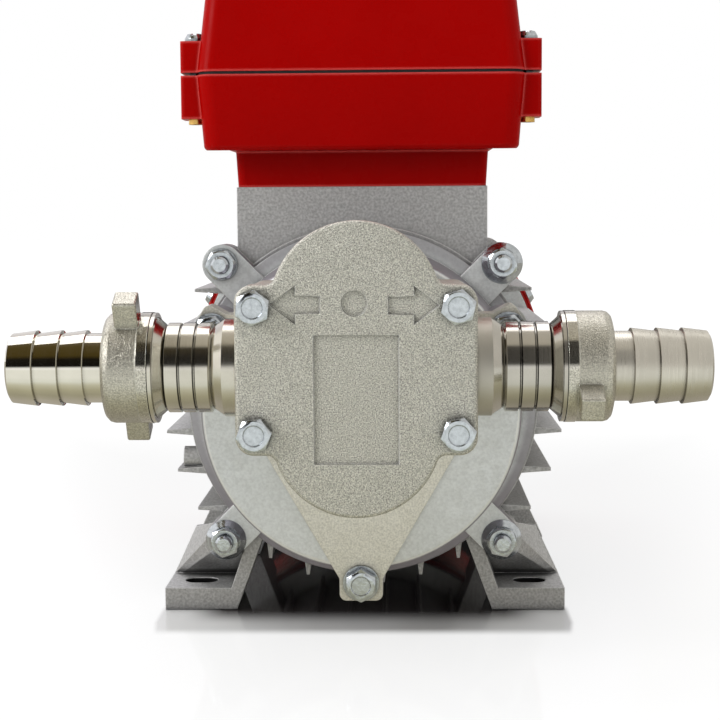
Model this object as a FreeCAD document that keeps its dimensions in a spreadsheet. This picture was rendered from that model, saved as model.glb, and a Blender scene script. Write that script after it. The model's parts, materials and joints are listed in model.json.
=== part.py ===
import FreeCAD, Part
import math
import os
import re
import Sketcher
from FreeCAD import Placement, Rotation, Vector

# External gear pump on a small foot-mounted single-phase motor, in millimetres.
# Origin: centre of the four foot slots on the mounting plane. +Z up, +X to the right seen
# from the pump, the pump faces -Y and the fan +Y. Both gears turn about lines along Y.

# Driving dimensions
SIZES = {
    # Fits
    "slip": 0.05,  # radial clearance of a part that turns or slides in another
    "hole_play": 0.25,  # radial clearance of a screw in its hole
    "face_play": 0.1,  # clearance between faces that move past each other

    # Gears and chamber
    "gear_module": 2,  # module of both gears
    "gear_teeth": 16,  # teeth of each gear
    "gear_width": 23.8,  # face width of the gears
    "tip_relief": 0.1,  # taken off the outside radius of the teeth
    "tooth_thinning": 0.16,  # taken off each tooth at the pitch circle
    "lobe_wall": 3.6,  # wall of the chamber outside the gear tips
    "drive_shaft_radius": 5.5,  # radius of the shaft in the pump
    "key_width": 4,  # width of the drive key
    "key_length": 16,  # length of the drive key
    "idler_pin_radius": 5,  # radius of the idler pin
    "idler_pin_seat": 5,  # depth of the idler pin in cover and body
    "idler_bush_wall": 1.5,  # wall of the idler bush
    "shaft_bush_wall": 2.5,  # wall of the shaft bushes
    "front_bush_length": 5.5,  # length of the bush in the cover
    "rear_bush_length": 5.6,  # length of the bush in the body
    "seal_radius": 11,  # outside radius of the shaft seal
    "seal_length": 6,  # length of the shaft seal

    # Cover, body and pump flange
    "cover_thickness": 8.5,  # thickness of the front cover
    "cover_rounding": 1.1,  # rounding of the cover's front edge
    "gasket_thickness": 0.5,  # thickness of the cover gasket
    "cover_half_width": 30.6,  # half width of cover and body at the bolt ears
    "cover_bolt_x": 25.65,  # bolt distance from the middle plane
    "ear_rise": 5.6,  # bolt centre to the upper or lower edge of the ears
    "ear_rounding": 4.6,  # rounding of the corners of the ears
    "lobe_blend": 2.6,  # concave rounding between ears and lobes
    "body_inset": 0.4,  # body outline inside the cover outline
    "barrel_depth": 27.6,  # depth of the body in front of its flange
    "flange_thickness": 8.6,  # thickness of the three-armed flange
    "flange_inradius": 28,  # distance of the flange's long edges from the axis
    "flange_arm_width": 12,  # width of the flange arms at their tips
    "flange_reach": 51.8,  # distance of the arm tips from the axis
    "flange_bolt_circle": 46.8,  # radius of the flange bolt circle
    "pilot_radius": 20,  # radius of the pilot behind the flange
    "pilot_depth": 2.8,  # depth of the pilot behind the flange

    # Hexagon bolts and nuts
    "bolt_radius": 2.5,  # radius of the bolt shanks
    "bolt_across": 8,  # bolt head across flats
    "bolt_head": 3.5,  # height of a bolt head
    "cover_bolt_grip": 15,  # cover bolt length inside the body
    "flange_bolt_grip": 10,  # flange bolt length inside the shield
    "washer_radius": 5,  # outside radius of a washer
    "washer_thickness": 0.8,  # thickness of a washer

    # Ports and unions; lengths are measured outwards from the middle plane
    "port_radius": 10,  # radius of the port thread
    "port_depth": 8.7,  # depth of the port thread in the body
    "port_drop": 1,  # ports below the middle between the gears
    "passage_radius": 7,  # radius of the passage to the gears
    "union_bore": 7.5,  # bore radius of the nipple
    "tail_bore": 7.2,  # bore radius of the hose tail
    "collar_radius": 12.95,  # radius of the nipple collar
    "collar_end": 34.85,  # end of the straight part of the collar
    "collar_chamfer": 3.05,  # length of the collar chamfer
    "ring_radius": 11.85,  # radius of the grip rings
    "ring_width": 3.6,  # width of one grip ring
    "ring_gap": 0.4,  # width of the groove between grip rings
    "waist_radius": 10.9,  # radius of the waist before the rim
    "flare_radius": 13.3,  # radius of the flare at the rim
    "flare_length": 2.9,  # length of the flare
    "rim_radius": 14.55,  # radius of the nipple rim and the wing nut
    "rim_width": 0.9,  # width of the nipple rim
    "thread_radius": 12,  # radius of the union thread
    "thread_length": 5.8,  # length of the union thread
    "tail_gasket_thickness": 1,  # thickness of the seal in the union
    "tail_collar_radius": 11.9,  # radius of the hose tail collar
    "tail_collar_width": 2.4,  # width of the hose tail collar
    "nut_length": 12.25,  # length of the wing nut
    "nut_band": 2.75,  # length of the machined band of the wing nut
    "nut_shoulder": 2.2,  # rounding of the outer shoulder of the wing nut
    "lug_width": 6.2,  # axial width of a lug
    "lug_thickness": 6.6,  # thickness of a lug around the nut
    "lug_reach": 21.6,  # distance of the lug tips from the axis
    "tail_length": 25.65,  # hose tail length outside the wing nut
    "barb_radius": 10,  # radius of the barb ridges
    "barb_step": 0.8,  # height of a barb ridge
    "barb_pitch": 6.65,  # distance between barb ridges
    "tail_plain": 5.25,  # plain length of the tail before its first ridge

    # Motor stations, measured from the middle of the feet
    "shaft_height": 63,  # height of the motor axis above the feet
    "shield_face": 76.3,  # front face of the front shield
    "housing_front": 51,  # front face of the housing
    "housing_back": 42,  # back face of the housing
    "housing_radius": 51.6,  # outside radius of the housing
    "housing_bore": 47,  # bore radius of the housing

    # Fins and pedestal
    "fin_root": 2.5,  # thickness of a fin at the housing
    "fin_tip": 0.9,  # thickness of a fin at its tip
    "fin_inset": 3,  # fins end this far inside the housing ends
    "side_fin_radius": 59.6,  # radius of the side fin tips
    "side_fin_first": 9.5,  # height of the first side fin above the axis
    "side_fin_pitch": 11.6,  # distance between side fins
    "bottom_fin_radius": 55.6,  # radius of the bottom fin tips
    "bottom_fin_first": 5.6,  # distance of the first bottom fin from the middle
    "bottom_fin_pitch": 11.3,  # distance between bottom fins
    "pedestal_width": 73.4,  # width of the pedestal
    "pedestal_top": 126,  # height of the pedestal top above the feet
    "pedestal_front": 49.6,  # front face of the pedestal
    "pedestal_back": 39.6,  # back face of the pedestal
    "pedestal_wall": 4,  # wall of the pedestal
    "pedestal_pocket": 9,  # depth of the pocket in the pedestal
    "lead_hole_radius": 6,  # radius of the hole for the leads
    "earth_boss_radius": 3.4,  # radius of the earth boss
    "earth_boss_reach": 54,  # end of the earth boss from the middle
    "earth_hole_radius": 1.65,  # radius of the threaded hole in the earth boss
    "earth_hole_depth": 5,  # depth of the threaded hole in the earth boss
    "earth_boss_drop": 17.8,  # earth boss below the axis
    "earth_boss_inset": 3.5,  # earth boss behind the housing front

    # Feet
    "foot_span_x": 100,  # distance of the foot slots across
    "foot_span_y": 80,  # distance of the foot slots along
    "foot_slot_width": 7,  # width of a foot slot
    "foot_slot_length": 10,  # length of a foot slot
    "foot_outer": 59.8,  # outer edge of the feet from the middle
    "foot_pad_width": 21.6,  # width of a foot pad
    "foot_lip": 10.5,  # slot centre to the end of the foot
    "foot_pad_length": 24,  # length of a foot pad
    "foot_thickness": 6.5,  # thickness of a foot pad
    "strut_wall": 3.9,  # thickness of the sloping strut
    "strut_lean": 9.9,  # how far the strut leans inwards to the top
    "strut_rise": 27,  # height of the strut
    "web_wall": 3,  # thickness of the cross web
    "web_rise": 21,  # height of the cross web
    "web_lean": 6.8,  # how far the web edge leans inwards to the top
    "gusset_end": 1.8,  # lower ridge of the gusset inside the outer edge of the pad

    # Front shield
    "shield_face_radius": 44.9,  # radius of the shield at its face
    "shield_barrel_radius": 46.5,  # radius of the shield barrel at its rim
    "shield_rounding": 1.5,  # rounding of the shield face
    "shield_rim_radius": 50.6,  # radius of the shield rim
    "shield_rim_width": 4.6,  # width of the shield rim
    "shield_wall": 4.4,  # wall of the shield barrel
    "shield_plate": 6,  # thickness of the shield plate
    "hub_radius": 22,  # radius of the bearing hubs
    "hub_bore": 10,  # bore of the hub plate
    "recess_depth": 3,  # depth of the recess for the pilot

    # Bearings and shaft
    "bearing_outer": 17.5,  # outside radius of the bearings
    "bearing_inner": 7.5,  # bore radius of the bearings
    "bearing_width": 11,  # width of the bearings
    "race_wall": 3,  # wall of a bearing ring
    "core_seat_radius": 9,  # shaft radius under the rotor
    "fan_seat_radius": 6,  # shaft radius under the fan

    # Stator and rotor
    "core_length": 50,  # length of stator and rotor core
    "core_centre": 4,  # middle of the cores in front of the foot centre
    "air_gap": 0.4,  # gap between rotor and stator
    "rotor_radius": 26,  # radius of the rotor
    "winding_inner": 29,  # inside radius of the winding heads
    "winding_outer": 42,  # outside radius of the winding heads
    "winding_length": 11,  # length of the winding heads

    # Tie rods
    "tie_rod_offset": 40.6,  # tie rods from the axis, across and up
    "tie_ear_radius": 5.8,  # radius of the tie rod ears
    "tie_ear_thickness": 5.3,  # thickness of the shield ears
    "housing_ear_length": 8,  # length of the housing ears
    "tie_rod_stand": 3,  # tie rod end in front of its nut
    "tie_nut_height": 4.6,  # height of a flange nut
    "tie_nut_flange": 6,  # radius of the nut flange
    "small_nut_flange": 4.7,  # radius of the flange of the smaller nut
    "tie_nut_flange_height": 1.3,  # height of the nut flange
    "tie_rod_seat": 6,  # depth of the rods in the rear shield
    "rear_ear_radius": 5.2,  # radius of the rear shield around a rod
    "rear_clearance": 0.8,  # clearance of the rear feet and fan cover around the rear shield

    # Rear shield, fan and fan cover
    "rear_shield_radius": 59.6,  # radius of the rear shield
    "rear_shield_rim": 8,  # thickness of the rear shield rim
    "rear_hub_length": 15,  # length of the rear hub, forwards from the plate's back
    "fan_gap": 9,  # gap between rear shield and fan plate
    "fan_radius": 51,  # radius of the fan
    "fan_plate": 2,  # thickness of the fan plate
    "fan_hub_radius": 11,  # radius of the fan hub
    "fan_hub_length": 18,  # length of the fan hub
    "fan_blade_depth": 14,  # axial depth of a fan blade
    "fan_blade_thickness": 1.8,  # thickness of a fan blade
    "fan_blades": 8,  # number of fan blades
    "fan_cover_radius": 61.4,  # outside radius of the fan cover at its rim
    "fan_cover_end_radius": 58.5,  # outside radius of the fan cover at its back
    "fan_cover_wall": 1.6,  # wall of the fan cover
    "fan_cover_front": 43.6,  # front edge of the fan cover
    "fan_cover_back": 112,  # back face of the fan cover
    "fan_cover_rounding": 5,  # rounding of the back of the fan cover
    "slot_count": 24,  # air slots in the fan cover
    "slot_width": 3,  # width of an air slot
    "slot_inner": 17,  # radius where the air slots begin
    "slot_outer": 48,  # radius where the air slots end
    "small_screw_radius": 1.55,  # shank radius of the fan cover screws and box base screws
    "small_screw_head": 3.4,  # head radius of the fan cover screws and box base screws

    # Terminal box
    "neck_width": 72.8,  # width of the neck of the box
    "neck_rise": 10.4,  # height of the neck
    "neck_flare": 0.7,  # how much each side of the neck leans out to the top
    "box_overhang": 9,  # box face beyond the pedestal, front and back
    "box_width": 91,  # width of the box at its bottom
    "box_draft": 1.6,  # how much each side leans out over the base
    "box_rise": 21.6,  # height of the wide part of the base
    "underside_slope": 2.6,  # rise of the underside beside the neck, in degrees
    "box_wall": 2.4,  # wall of the box
    "box_rounding": 5,  # rounding of the upright corners
    "box_edge_rounding": 1.6,  # rounding of the lower edges of the box
    "box_seal": 0.8,  # thickness of the box gasket
    "lid_rise": 27,  # height of the lid
    "lid_draft": 3,  # how much each lid side leans in
    "lid_rounding": 3,  # rounding of the top of the lid
    "box_lug_reach": 6.5,  # how far a lug stands out of the side
    "box_lug_length": 10,  # length of a lug
    "box_lug_inset": 3,  # lug behind the face of the box
    "box_lug_rise": 12.4,  # height of a lug of the base
    "lid_lug_rise": 9,  # height of a lug of the lid
    "lid_screw_radius": 1.7,  # radius of a lid screw
    "lid_screw_head": 3,  # head radius of a lid screw
    "lid_screw_head_height": 2.6,  # head height of a lid screw
    "insert_radius": 2.2,  # radius of a thread insert
    "insert_stand": 1.4,  # insert below its lug
    "insert_wall": 1.25,  # wall of the base left inside a thread insert
    "base_screw_x": 28,  # screws of the box base from the middle
    "base_screw_y": 34,  # screws of the box base from their centre
    "base_screw_grip": 9,  # length of a box base screw in the pedestal
    "base_screw_post": 4,  # radius of the posts under the box base screws
    "capacitor_radius": 15,  # radius of the capacitor
    "capacitor_length": 70,  # length of the capacitor
    "terminal_length": 44,  # length of the terminal block
    "terminal_width": 20,  # width of the terminal block
    "terminal_height": 12,  # height of the terminal block
    "terminal_hole": 2.2,  # radius of the holes in the terminal block

    # Switch
    "switch_length": 30,  # length of the switch frame, along Y
    "switch_width": 22,  # width of the switch frame, along X
    "switch_rim": 2,  # height of the frame above the lid
    "switch_depth": 14,  # depth of the switch below the lid
    "switch_wall": 2.2,  # wall of the switch frame
    "switch_shift": 24,  # switch behind the middle of the lid
    "rocker_rise": 4,  # rocker above the frame at its ends
    "rocker_dip": 2.2,  # how much lower the rocker is at its middle
    "rocker_depth": 5,  # rocker below the frame's top
    "rocker_play": 0.5,  # clearance around the rocker
    "rocker_tilt": 10,  # tilt of the rocker from level, in degrees; its rear end is up

    # Cable gland
    "gland_thread": 7,  # radius of the gland thread
    "gland_across": 18,  # gland hexagons across flats
    "gland_collar": 5,  # length of the gland collar
    "gland_neck": 5,  # length of the gland neck under the nut
    "gland_nut_length": 14,  # length of the gland nut
    "gland_bore": 4,  # radius of the cable bore
    "gland_locknut": 4,  # thickness of the lock nut inside the box
}

doc = FreeCAD.newDocument("GearPump")
sheet = doc.addObject("Spreadsheet::Sheet", "Sizes")
for row, (alias, number) in enumerate(SIZES.items(), start=1):
    sheet.set("A%d" % row, alias.replace("_", " "))
    sheet.set("B%d" % row, str(number))
    sheet.setAlias("B%d" % row, alias)
nodes = []
doc.recompute()
alias_pattern = re.compile(r"\b(" + "|".join(sorted(SIZES, key=len, reverse=True)) + r")\b")

# Local z of a primitive or a turned body points along the heading.
HEADINGS = {
    "z": Rotation(),
    "-z": Rotation(Vector(1, 0, 0), 180),
    "y": Rotation(Vector(1, 0, 0), -90),
    "-y": Rotation(Vector(1, 0, 0), 90),
    "x": Rotation(Vector(0, 1, 0), 90),
    "-x": Rotation(Vector(0, 1, 0), -90),
}
SIDES = {"left": -1, "right": 1}
CORNERS = [(-1, -1), (-1, 1), (1, -1), (1, 1)]
COVER_SCREWS = (25, 155, 205, 335)

# Places worked out from the sheet
gear_distance = "(gear_module * gear_teeth)"
tip_radius = "(gear_module * (gear_teeth / 2 + 1) - tip_relief)"
chamber_radius = f"({tip_radius} + face_play)"
lobe_radius = f"({chamber_radius} + lobe_wall)"
chamber_depth = "(gear_width + 2 * face_play)"
idler_height = f"(shaft_height + {gear_distance})"
port_height = f"(shaft_height + {gear_distance} / 2 - port_drop)"
flange_front = "(-shield_face - flange_thickness)"
body_front = f"({flange_front} - barrel_depth)"
gasket_front = f"({body_front} - gasket_thickness)"
cover_front = f"({gasket_front} - cover_thickness)"
chamber_front = gasket_front
chamber_back = f"({chamber_front} + {chamber_depth})"
port_y = f"({chamber_front} + {chamber_depth} / 2)"
gear_front = f"({chamber_front} + face_play)"
seal_front = f"({chamber_back} + rear_bush_length + 0.3)"
front_bearing_front = "(-shield_face + recess_depth + 2)"
rear_plate_back = "(housing_back + rear_shield_rim)"
rear_bearing_back = f"({rear_plate_back} - 3)"
fan_front = f"({rear_plate_back} + fan_gap)"
shaft_back = f"({fan_front} + fan_hub_length)"
core_front = "(-core_centre - core_length / 2)"
neck_top = "(pedestal_top + neck_rise)"
base_top = f"({neck_top} + box_rise)"
lid_bottom = f"({base_top} + box_seal)"
lid_top = f"({lid_bottom} + lid_rise)"
box_front = "(-pedestal_front - box_overhang)"
box_back = "(pedestal_back + box_overhang)"
box_middle = "((pedestal_back - pedestal_front) / 2)"
bolt_hole = "(bolt_radius + hole_play)"
rim_start = "(collar_end + collar_chamfer + 3 * ring_width + 3 * ring_gap + flare_length)"
thread_start = f"({rim_start} + rim_width)"
thread_end = f"({thread_start} + thread_length)"
tail_start = f"({thread_end} + tail_gasket_thickness)"
nut_start = f"({thread_start} + 0.2)"
nut_end = f"({nut_start} + nut_length)"
cover_screw_y = "(housing_back + rear_shield_rim / 2 + 0.5)"
switch_front = f"({box_middle} + switch_shift - switch_length / 2)"
gland_height = f"({neck_top} + box_rise / 2 + 0.1)"
gland_wall = f"({box_back} + box_draft)"
small_screw_thread = "(small_screw_radius + slip)"
small_screw_hole = "(small_screw_radius + hole_play)"


def link(text):
    """Turn the names in a formula into references to the sheet."""
    return alias_pattern.sub(r"Sizes.\1", text)


def value(text):
    """The present value of a formula."""
    return float(sheet.evalExpression(link(text)))


def bind(item, formulas):
    """Bind properties of an object to formulas of the sheet."""
    for name, text in formulas.items():
        item.setExpression(name, link(text))


def put(item, at, heading="z", spin=0):
    """Place an object: its local z along the heading, turned by spin about it."""
    turn = HEADINGS[heading].multiply(Rotation(Vector(0, 0, 1), spin))
    item.Placement = Placement(Vector(0, 0, 0), turn)
    bind(item, {"Placement.Base.x": at[0], "Placement.Base.y": at[1], "Placement.Base.z": at[2]})
    return item


def cylinder(name, radius, length, at, heading="y"):
    item = doc.addObject("Part::Cylinder", name)
    bind(item, {"Radius": radius, "Height": length})
    return put(item, at, heading)


def cone(name, radius, end_radius, length, at, heading="y"):
    item = doc.addObject("Part::Cone", name)
    bind(item, {"Radius1": radius, "Radius2": end_radius, "Height": length})
    return put(item, at, heading)


def prism(name, sides, inradius, length, at, heading="y", spin=0):
    """A regular prism given by the distance of its faces from its axis."""
    item = doc.addObject("Part::Prism", name)
    item.Polygon = sides
    bind(item, {"Circumradius": f"({inradius}) / cos({180 / sides} deg)", "Height": length})
    return put(item, at, heading, spin)


def block(name, extent, low):
    """A box from its low corner."""
    item = doc.addObject("Part::Box", name)
    bind(item, {"Length": extent[0], "Width": extent[1], "Height": extent[2]})
    return put(item, low)


def middle_block(name, width, front, back, bottom, top):
    """A box centred on the middle plane X = 0."""
    extent = (width, f"({back}) - ({front})", f"({top}) - ({bottom})")
    return block(name, extent, (f"-({width}) / 2", front, bottom))


def spoke(name, width, inner, outer, front, length, angle):
    """A bar in a plane across the motor axis, from one radius to another at an angle."""
    item = doc.addObject("Part::Box", name)
    bind(item, {"Length": f"({outer}) - ({inner})", "Width": length, "Height": width})
    item.Placement = Placement(Vector(0, 0, 0), Rotation(Vector(0, 1, 0), -angle))
    cosine = f"cos({angle} deg)"
    sine = f"sin({angle} deg)"
    bind(item, {
        "Placement.Base.x": f"({inner}) * {cosine} + ({width}) / 2 * {sine}",
        "Placement.Base.y": front,
        "Placement.Base.z": f"shaft_height + ({inner}) * {sine} - ({width}) / 2 * {cosine}",
    })
    return item


def fuse(name, items):
    item = doc.addObject("Part::MultiFuse", name)
    item.Shapes = items
    item.Refine = True
    return item


def cut(name, base, tools):
    tool = tools[0]
    if len(tools) > 1:
        tool = fuse(name + "_tools", tools)
    item = doc.addObject("Part::Cut", name)
    item.Base = base
    item.Tool = tool
    item.Refine = True
    return item


def common(name, first, second):
    item = doc.addObject("Part::Common", name)
    item.Base = first
    item.Tool = second
    return item


def group(name, items):
    """Several separate solids in one object."""
    item = doc.addObject("Part::Compound", name)
    item.Links = items
    return item


def mirror(name, source, normal):
    item = doc.addObject("Part::Mirroring", name)
    item.Source = source
    item.Base = Vector(0, 0, 0)
    item.Normal = normal
    return item


def rounded(name, base, radius_of):
    """Fillet the edges for which radius_of gives a formula."""
    doc.recompute()
    chosen = []
    for number, edge in enumerate(base.Shape.Edges, start=1):
        formula = radius_of(edge)
        if formula:
            chosen.append((number, value(formula), value(formula)))
    item = doc.addObject("Part::Fillet", name)
    item.Base = base
    item.Edges = chosen
    return item


def flat_at(edge, axis, place):
    """True if the whole edge lies at this coordinate."""
    box = edge.BoundBox
    low = (box.XMin, box.YMin, box.ZMin)[axis]
    high = (box.XMax, box.YMax, box.ZMax)[axis]
    return abs(low - place) < 0.01 and abs(high - place) < 0.01


def runs_along(edge, axis):
    """True if the edge is straight and parallel to an axis."""
    if edge.Curve.TypeId != "Part::GeomLine":
        return False
    return abs(abs(edge.Curve.Direction[axis]) - 1) < 1e-6


def draw(body, name, plane, points):
    """A closed sketch of straight lines whose corners are bound to formulas."""
    sketch = body.newObject("Sketcher::SketchObject", name)
    support = [item for item in body.Origin.OriginFeatures if item.Role == plane][0]
    sketch.AttachmentSupport = [(support, "")]
    sketch.MapMode = "FlatFace"
    corners = [Vector(value(across), value(up), 0) for across, up in points]
    following = corners[1:] + corners[:1]
    sketch.addGeometry([Part.LineSegment(a, b) for a, b in zip(corners, following)], False)
    count = len(points)
    for index in range(count):
        sketch.addConstraint(Sketcher.Constraint("Coincident", index, 2, (index + 1) % count, 1))
    for index, point in enumerate(points):
        for kind, text, axis in (("DistanceX", point[0], -2), ("DistanceY", point[1], -1)):
            if text == "0":
                sketch.addConstraint(Sketcher.Constraint("PointOnObject", index, 1, axis))
            else:
                measure = Sketcher.Constraint(kind, -1, 1, index, 1, value(text))
                number = sketch.addConstraint(measure)
                sketch.setExpression("Constraints[%d]" % number, link(text))
    return sketch


def turned(name, points, at, heading="y"):
    """A body turned about the heading; points are (radius, distance along the heading)."""
    body = doc.addObject("PartDesign::Body", name)
    sketch = draw(body, name + "_profile", "XZ_Plane", points)
    feature = body.newObject("PartDesign::Revolution", name + "_turning")
    feature.Profile = sketch
    feature.ReferenceAxis = (sketch, ["V_Axis"])
    feature.Angle = 360
    body.Tip = feature
    put(body, at, heading)
    return body


def plate(name, points, front, depth):
    """A padded outline in the X-Z plane, from its front face backwards."""
    body = doc.addObject("PartDesign::Body", name)
    sketch = draw(body, name + "_outline", "XY_Plane", points)
    pad = body.newObject("PartDesign::Pad", name + "_pad")
    pad.Profile = sketch
    bind(pad, {"Length": depth})
    body.Tip = pad
    put(body, ("0", f"{front} + {depth}", "0"), "-y")
    return body


def node(item, label):
    """Name a finished sub-part."""
    item.Label = label
    nodes.append(item)
    return item


def hex_head(name, inradius, height, at, heading, spin=0):
    """A hexagon with its outer corners turned off; the heading points out of its top."""
    hexagon = prism(name + "_hexagon", 6, inradius, height, at, heading, spin)
    corner = f"({inradius}) * 1.155"
    profile = [
        ("0", "0"),
        (f"{corner} + 0.1", "0"),
        (f"{corner} + 0.1", f"{height} - ({inradius}) * 0.16"),
        (f"({inradius}) * 0.93", height),
        ("0", height),
    ]
    return common(name, hexagon, turned(name + "_turned", profile, at, heading))


def bolt(name, at, heading, grip, spin):
    """A hexagon bolt; at is on the bearing face, the heading points out of the head."""
    back = {"-y": "y", "y": "-y", "z": "-z"}[heading]
    head = hex_head(name + "_head", "bolt_across / 2", "bolt_head", at, heading, spin)
    shank = cylinder(name + "_shank", "bolt_radius", grip, at, back)
    return fuse(name, [head, shank])


def tube(name, outer, inner, length, at, heading="y"):
    outside = cylinder(name + "_outside", outer, length, at, heading)
    inside = cylinder(name + "_inside", inner, length, at, heading)
    return cut(name, outside, [inside])


def pump_outline(name, front, depth, inset):
    """Two lobes and the block of the bolt ears, with their corners rounded."""
    lobe = f"{lobe_radius} - {inset}"
    half = f"(cover_half_width - {inset})"
    rise = f"(ear_rise - {inset})"
    low = cylinder(name + "_low_lobe", lobe, depth, ("0", front, "shaft_height"))
    high = cylinder(name + "_high_lobe", lobe, depth, ("0", front, idler_height))
    ears = middle_block(name + "_ears", f"2 * {half}", front, f"{front} + {depth}",
                        f"shaft_height - {rise}", f"{idler_height} + {rise}")
    whole = fuse(name + "_sharp", [low, high, ears])
    side = value(half)

    def radius_of(edge):
        if not runs_along(edge, 1):
            return None
        outer = abs(abs(edge.Vertexes[0].X) - side) < 0.01
        return "ear_rounding" if outer else "lobe_blend"

    return rounded(name, whole, radius_of)


def cover_bolt_places():
    for side in (-1, 1):
        for level, height in (("low", "shaft_height"), ("high", idler_height)):
            yield "%s_%s" % ("left" if side < 0 else "right", level), f"{side} * cover_bolt_x", height


def flange_bolt_places():
    for angle in (30, 150, 270):
        across = f"flange_bolt_circle * cos({angle} deg)"
        height = f"shaft_height + flange_bolt_circle * sin({angle} deg)"
        yield angle, across, height


def base_screw_places():
    for across, along in CORNERS:
        name = "%d_%d" % (across + 1, along + 1)
        yield name, f"{across} * base_screw_x", f"{box_middle} + {along} * base_screw_y"


def tie_rod_places():
    for side, level in CORNERS:
        name = "%s_%s" % ("left" if side < 0 else "right", "low" if level < 0 else "high")
        yield name, f"{side} * tie_rod_offset", f"shaft_height + {level} * tie_rod_offset"


# Front cover
def make_front_cover():
    blank = pump_outline("cover_blank", cover_front, "cover_thickness", "0")
    front = value(cover_front)
    soft = rounded("cover_soft", blank, lambda e: "cover_rounding" if flat_at(e, 1, front) else None)
    holes = []
    for name, across, height in cover_bolt_places():
        holes.append(cylinder("cover_hole_" + name, bolt_hole, "cover_thickness",
                              (across, cover_front, height)))
    bush = "drive_shaft_radius + slip + shaft_bush_wall"
    depth = "(front_bush_length + 0.2)"
    holes.append(cylinder("cover_bush_bore", bush, depth,
                          ("0", f"{gasket_front} - {depth}", "shaft_height")))
    holes.append(cylinder("cover_pin_bore", "idler_pin_radius", "idler_pin_seat",
                          ("0", f"{gasket_front} - idler_pin_seat", idler_height)))
    node(cut("front_cover", soft, holes), "front_cover")


def make_cover_gasket():
    blank = pump_outline("gasket_blank", gasket_front, "gasket_thickness", "body_inset / 2")
    holes = []
    for name, across, height in cover_bolt_places():
        holes.append(cylinder("gasket_hole_" + name, bolt_hole, "gasket_thickness",
                              (across, gasket_front, height)))
    for name, height in (("low", "shaft_height"), ("high", idler_height)):
        holes.append(cylinder("gasket_window_" + name, chamber_radius, "gasket_thickness",
                              ("0", gasket_front, height)))
    node(cut("cover_gasket", blank, holes), "cover_gasket")


def make_cover_bolts():
    turns = {"left_low": 8, "left_high": 24, "right_low": 12, "right_high": 17}
    grip = "cover_thickness + gasket_thickness + cover_bolt_grip"
    bolts = []
    for name, across, height in cover_bolt_places():
        bolts.append(bolt("cover_bolt_" + name, (across, cover_front, height), "-y", grip, turns[name]))
    node(group("cover_bolts", bolts), "cover_bolts")


# Pump body
def make_flange():
    """Three-armed flange: a triangle cut off square, with an arm out of each corner."""
    reach = "(2 * flange_inradius - flange_arm_width * 0.866)"
    at = ("0", flange_front, "shaft_height")
    triangle = prism("flange_triangle", 3, "flange_inradius", "flange_thickness", at, "y", -30)
    crop = prism("flange_crop", 3, reach, "flange_thickness", at, "y", 30)
    arms = [common("flange_middle", triangle, crop)]
    for angle in (30, 150, 270):
        arms.append(spoke("flange_arm_%d" % angle, "flange_arm_width", "flange_inradius",
                          "flange_reach", flange_front, "flange_thickness", angle))
    whole = fuse("flange_sharp", arms)
    tip = value("flange_reach")
    centre = Vector(0, 0, value("shaft_height"))

    def radius_of(edge):
        if not runs_along(edge, 1):
            return None
        start = edge.Vertexes[0].Point
        radius = math.hypot(start.x - centre.x, start.z - centre.z)
        return "flange_arm_width / 6" if radius > tip - 0.1 else None

    return rounded("flange", whole, radius_of)


def make_pump_body():
    barrel = pump_outline("barrel", body_front, "barrel_depth + 1", "body_inset")
    pilot = cylinder("pilot", "pilot_radius", "pilot_depth + 1", ("0", "-shield_face - 1", "shaft_height"))
    blank = fuse("body_blank", [barrel, make_flange(), pilot])
    holes = []
    depth = f"({chamber_back} - {body_front})"
    for name, height in (("low", "shaft_height"), ("high", idler_height)):
        holes.append(cylinder("chamber_" + name, chamber_radius, depth, ("0", body_front, height)))
    for name, across, height in cover_bolt_places():
        holes.append(cylinder("body_hole_" + name, "bolt_radius + slip", "cover_bolt_grip + 1",
                              (across, body_front, height)))
    for angle, across, height in flange_bolt_places():
        holes.append(cylinder("flange_hole_%d" % angle, bolt_hole, "flange_thickness",
                              (across, flange_front, height)))
    side = "(cover_half_width - body_inset)"
    holes.append(cylinder("passage", "passage_radius", f"2 * {side}",
                          (f"-{side}", port_y, port_height), "x"))
    for name, sign in SIDES.items():
        heading = "x" if sign > 0 else "-x"
        holes.append(cylinder("port_" + name, "port_radius + slip", "port_depth",
                              (f"{sign} * ({side} - port_depth)", port_y, port_height), heading))
    bush = "drive_shaft_radius + slip + shaft_bush_wall"
    holes.append(cylinder("body_bush_bore", bush, "rear_bush_length + 0.3",
                          ("0", chamber_back, "shaft_height")))
    holes.append(cylinder("body_seal_bore", "seal_radius", f"-shield_face + pilot_depth - {seal_front}",
                          ("0", seal_front, "shaft_height")))
    holes.append(cylinder("body_pin_bore", "idler_pin_radius", "idler_pin_seat",
                          ("0", chamber_back, idler_height)))
    node(cut("pump_body", blank, holes), "pump_body")


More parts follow.
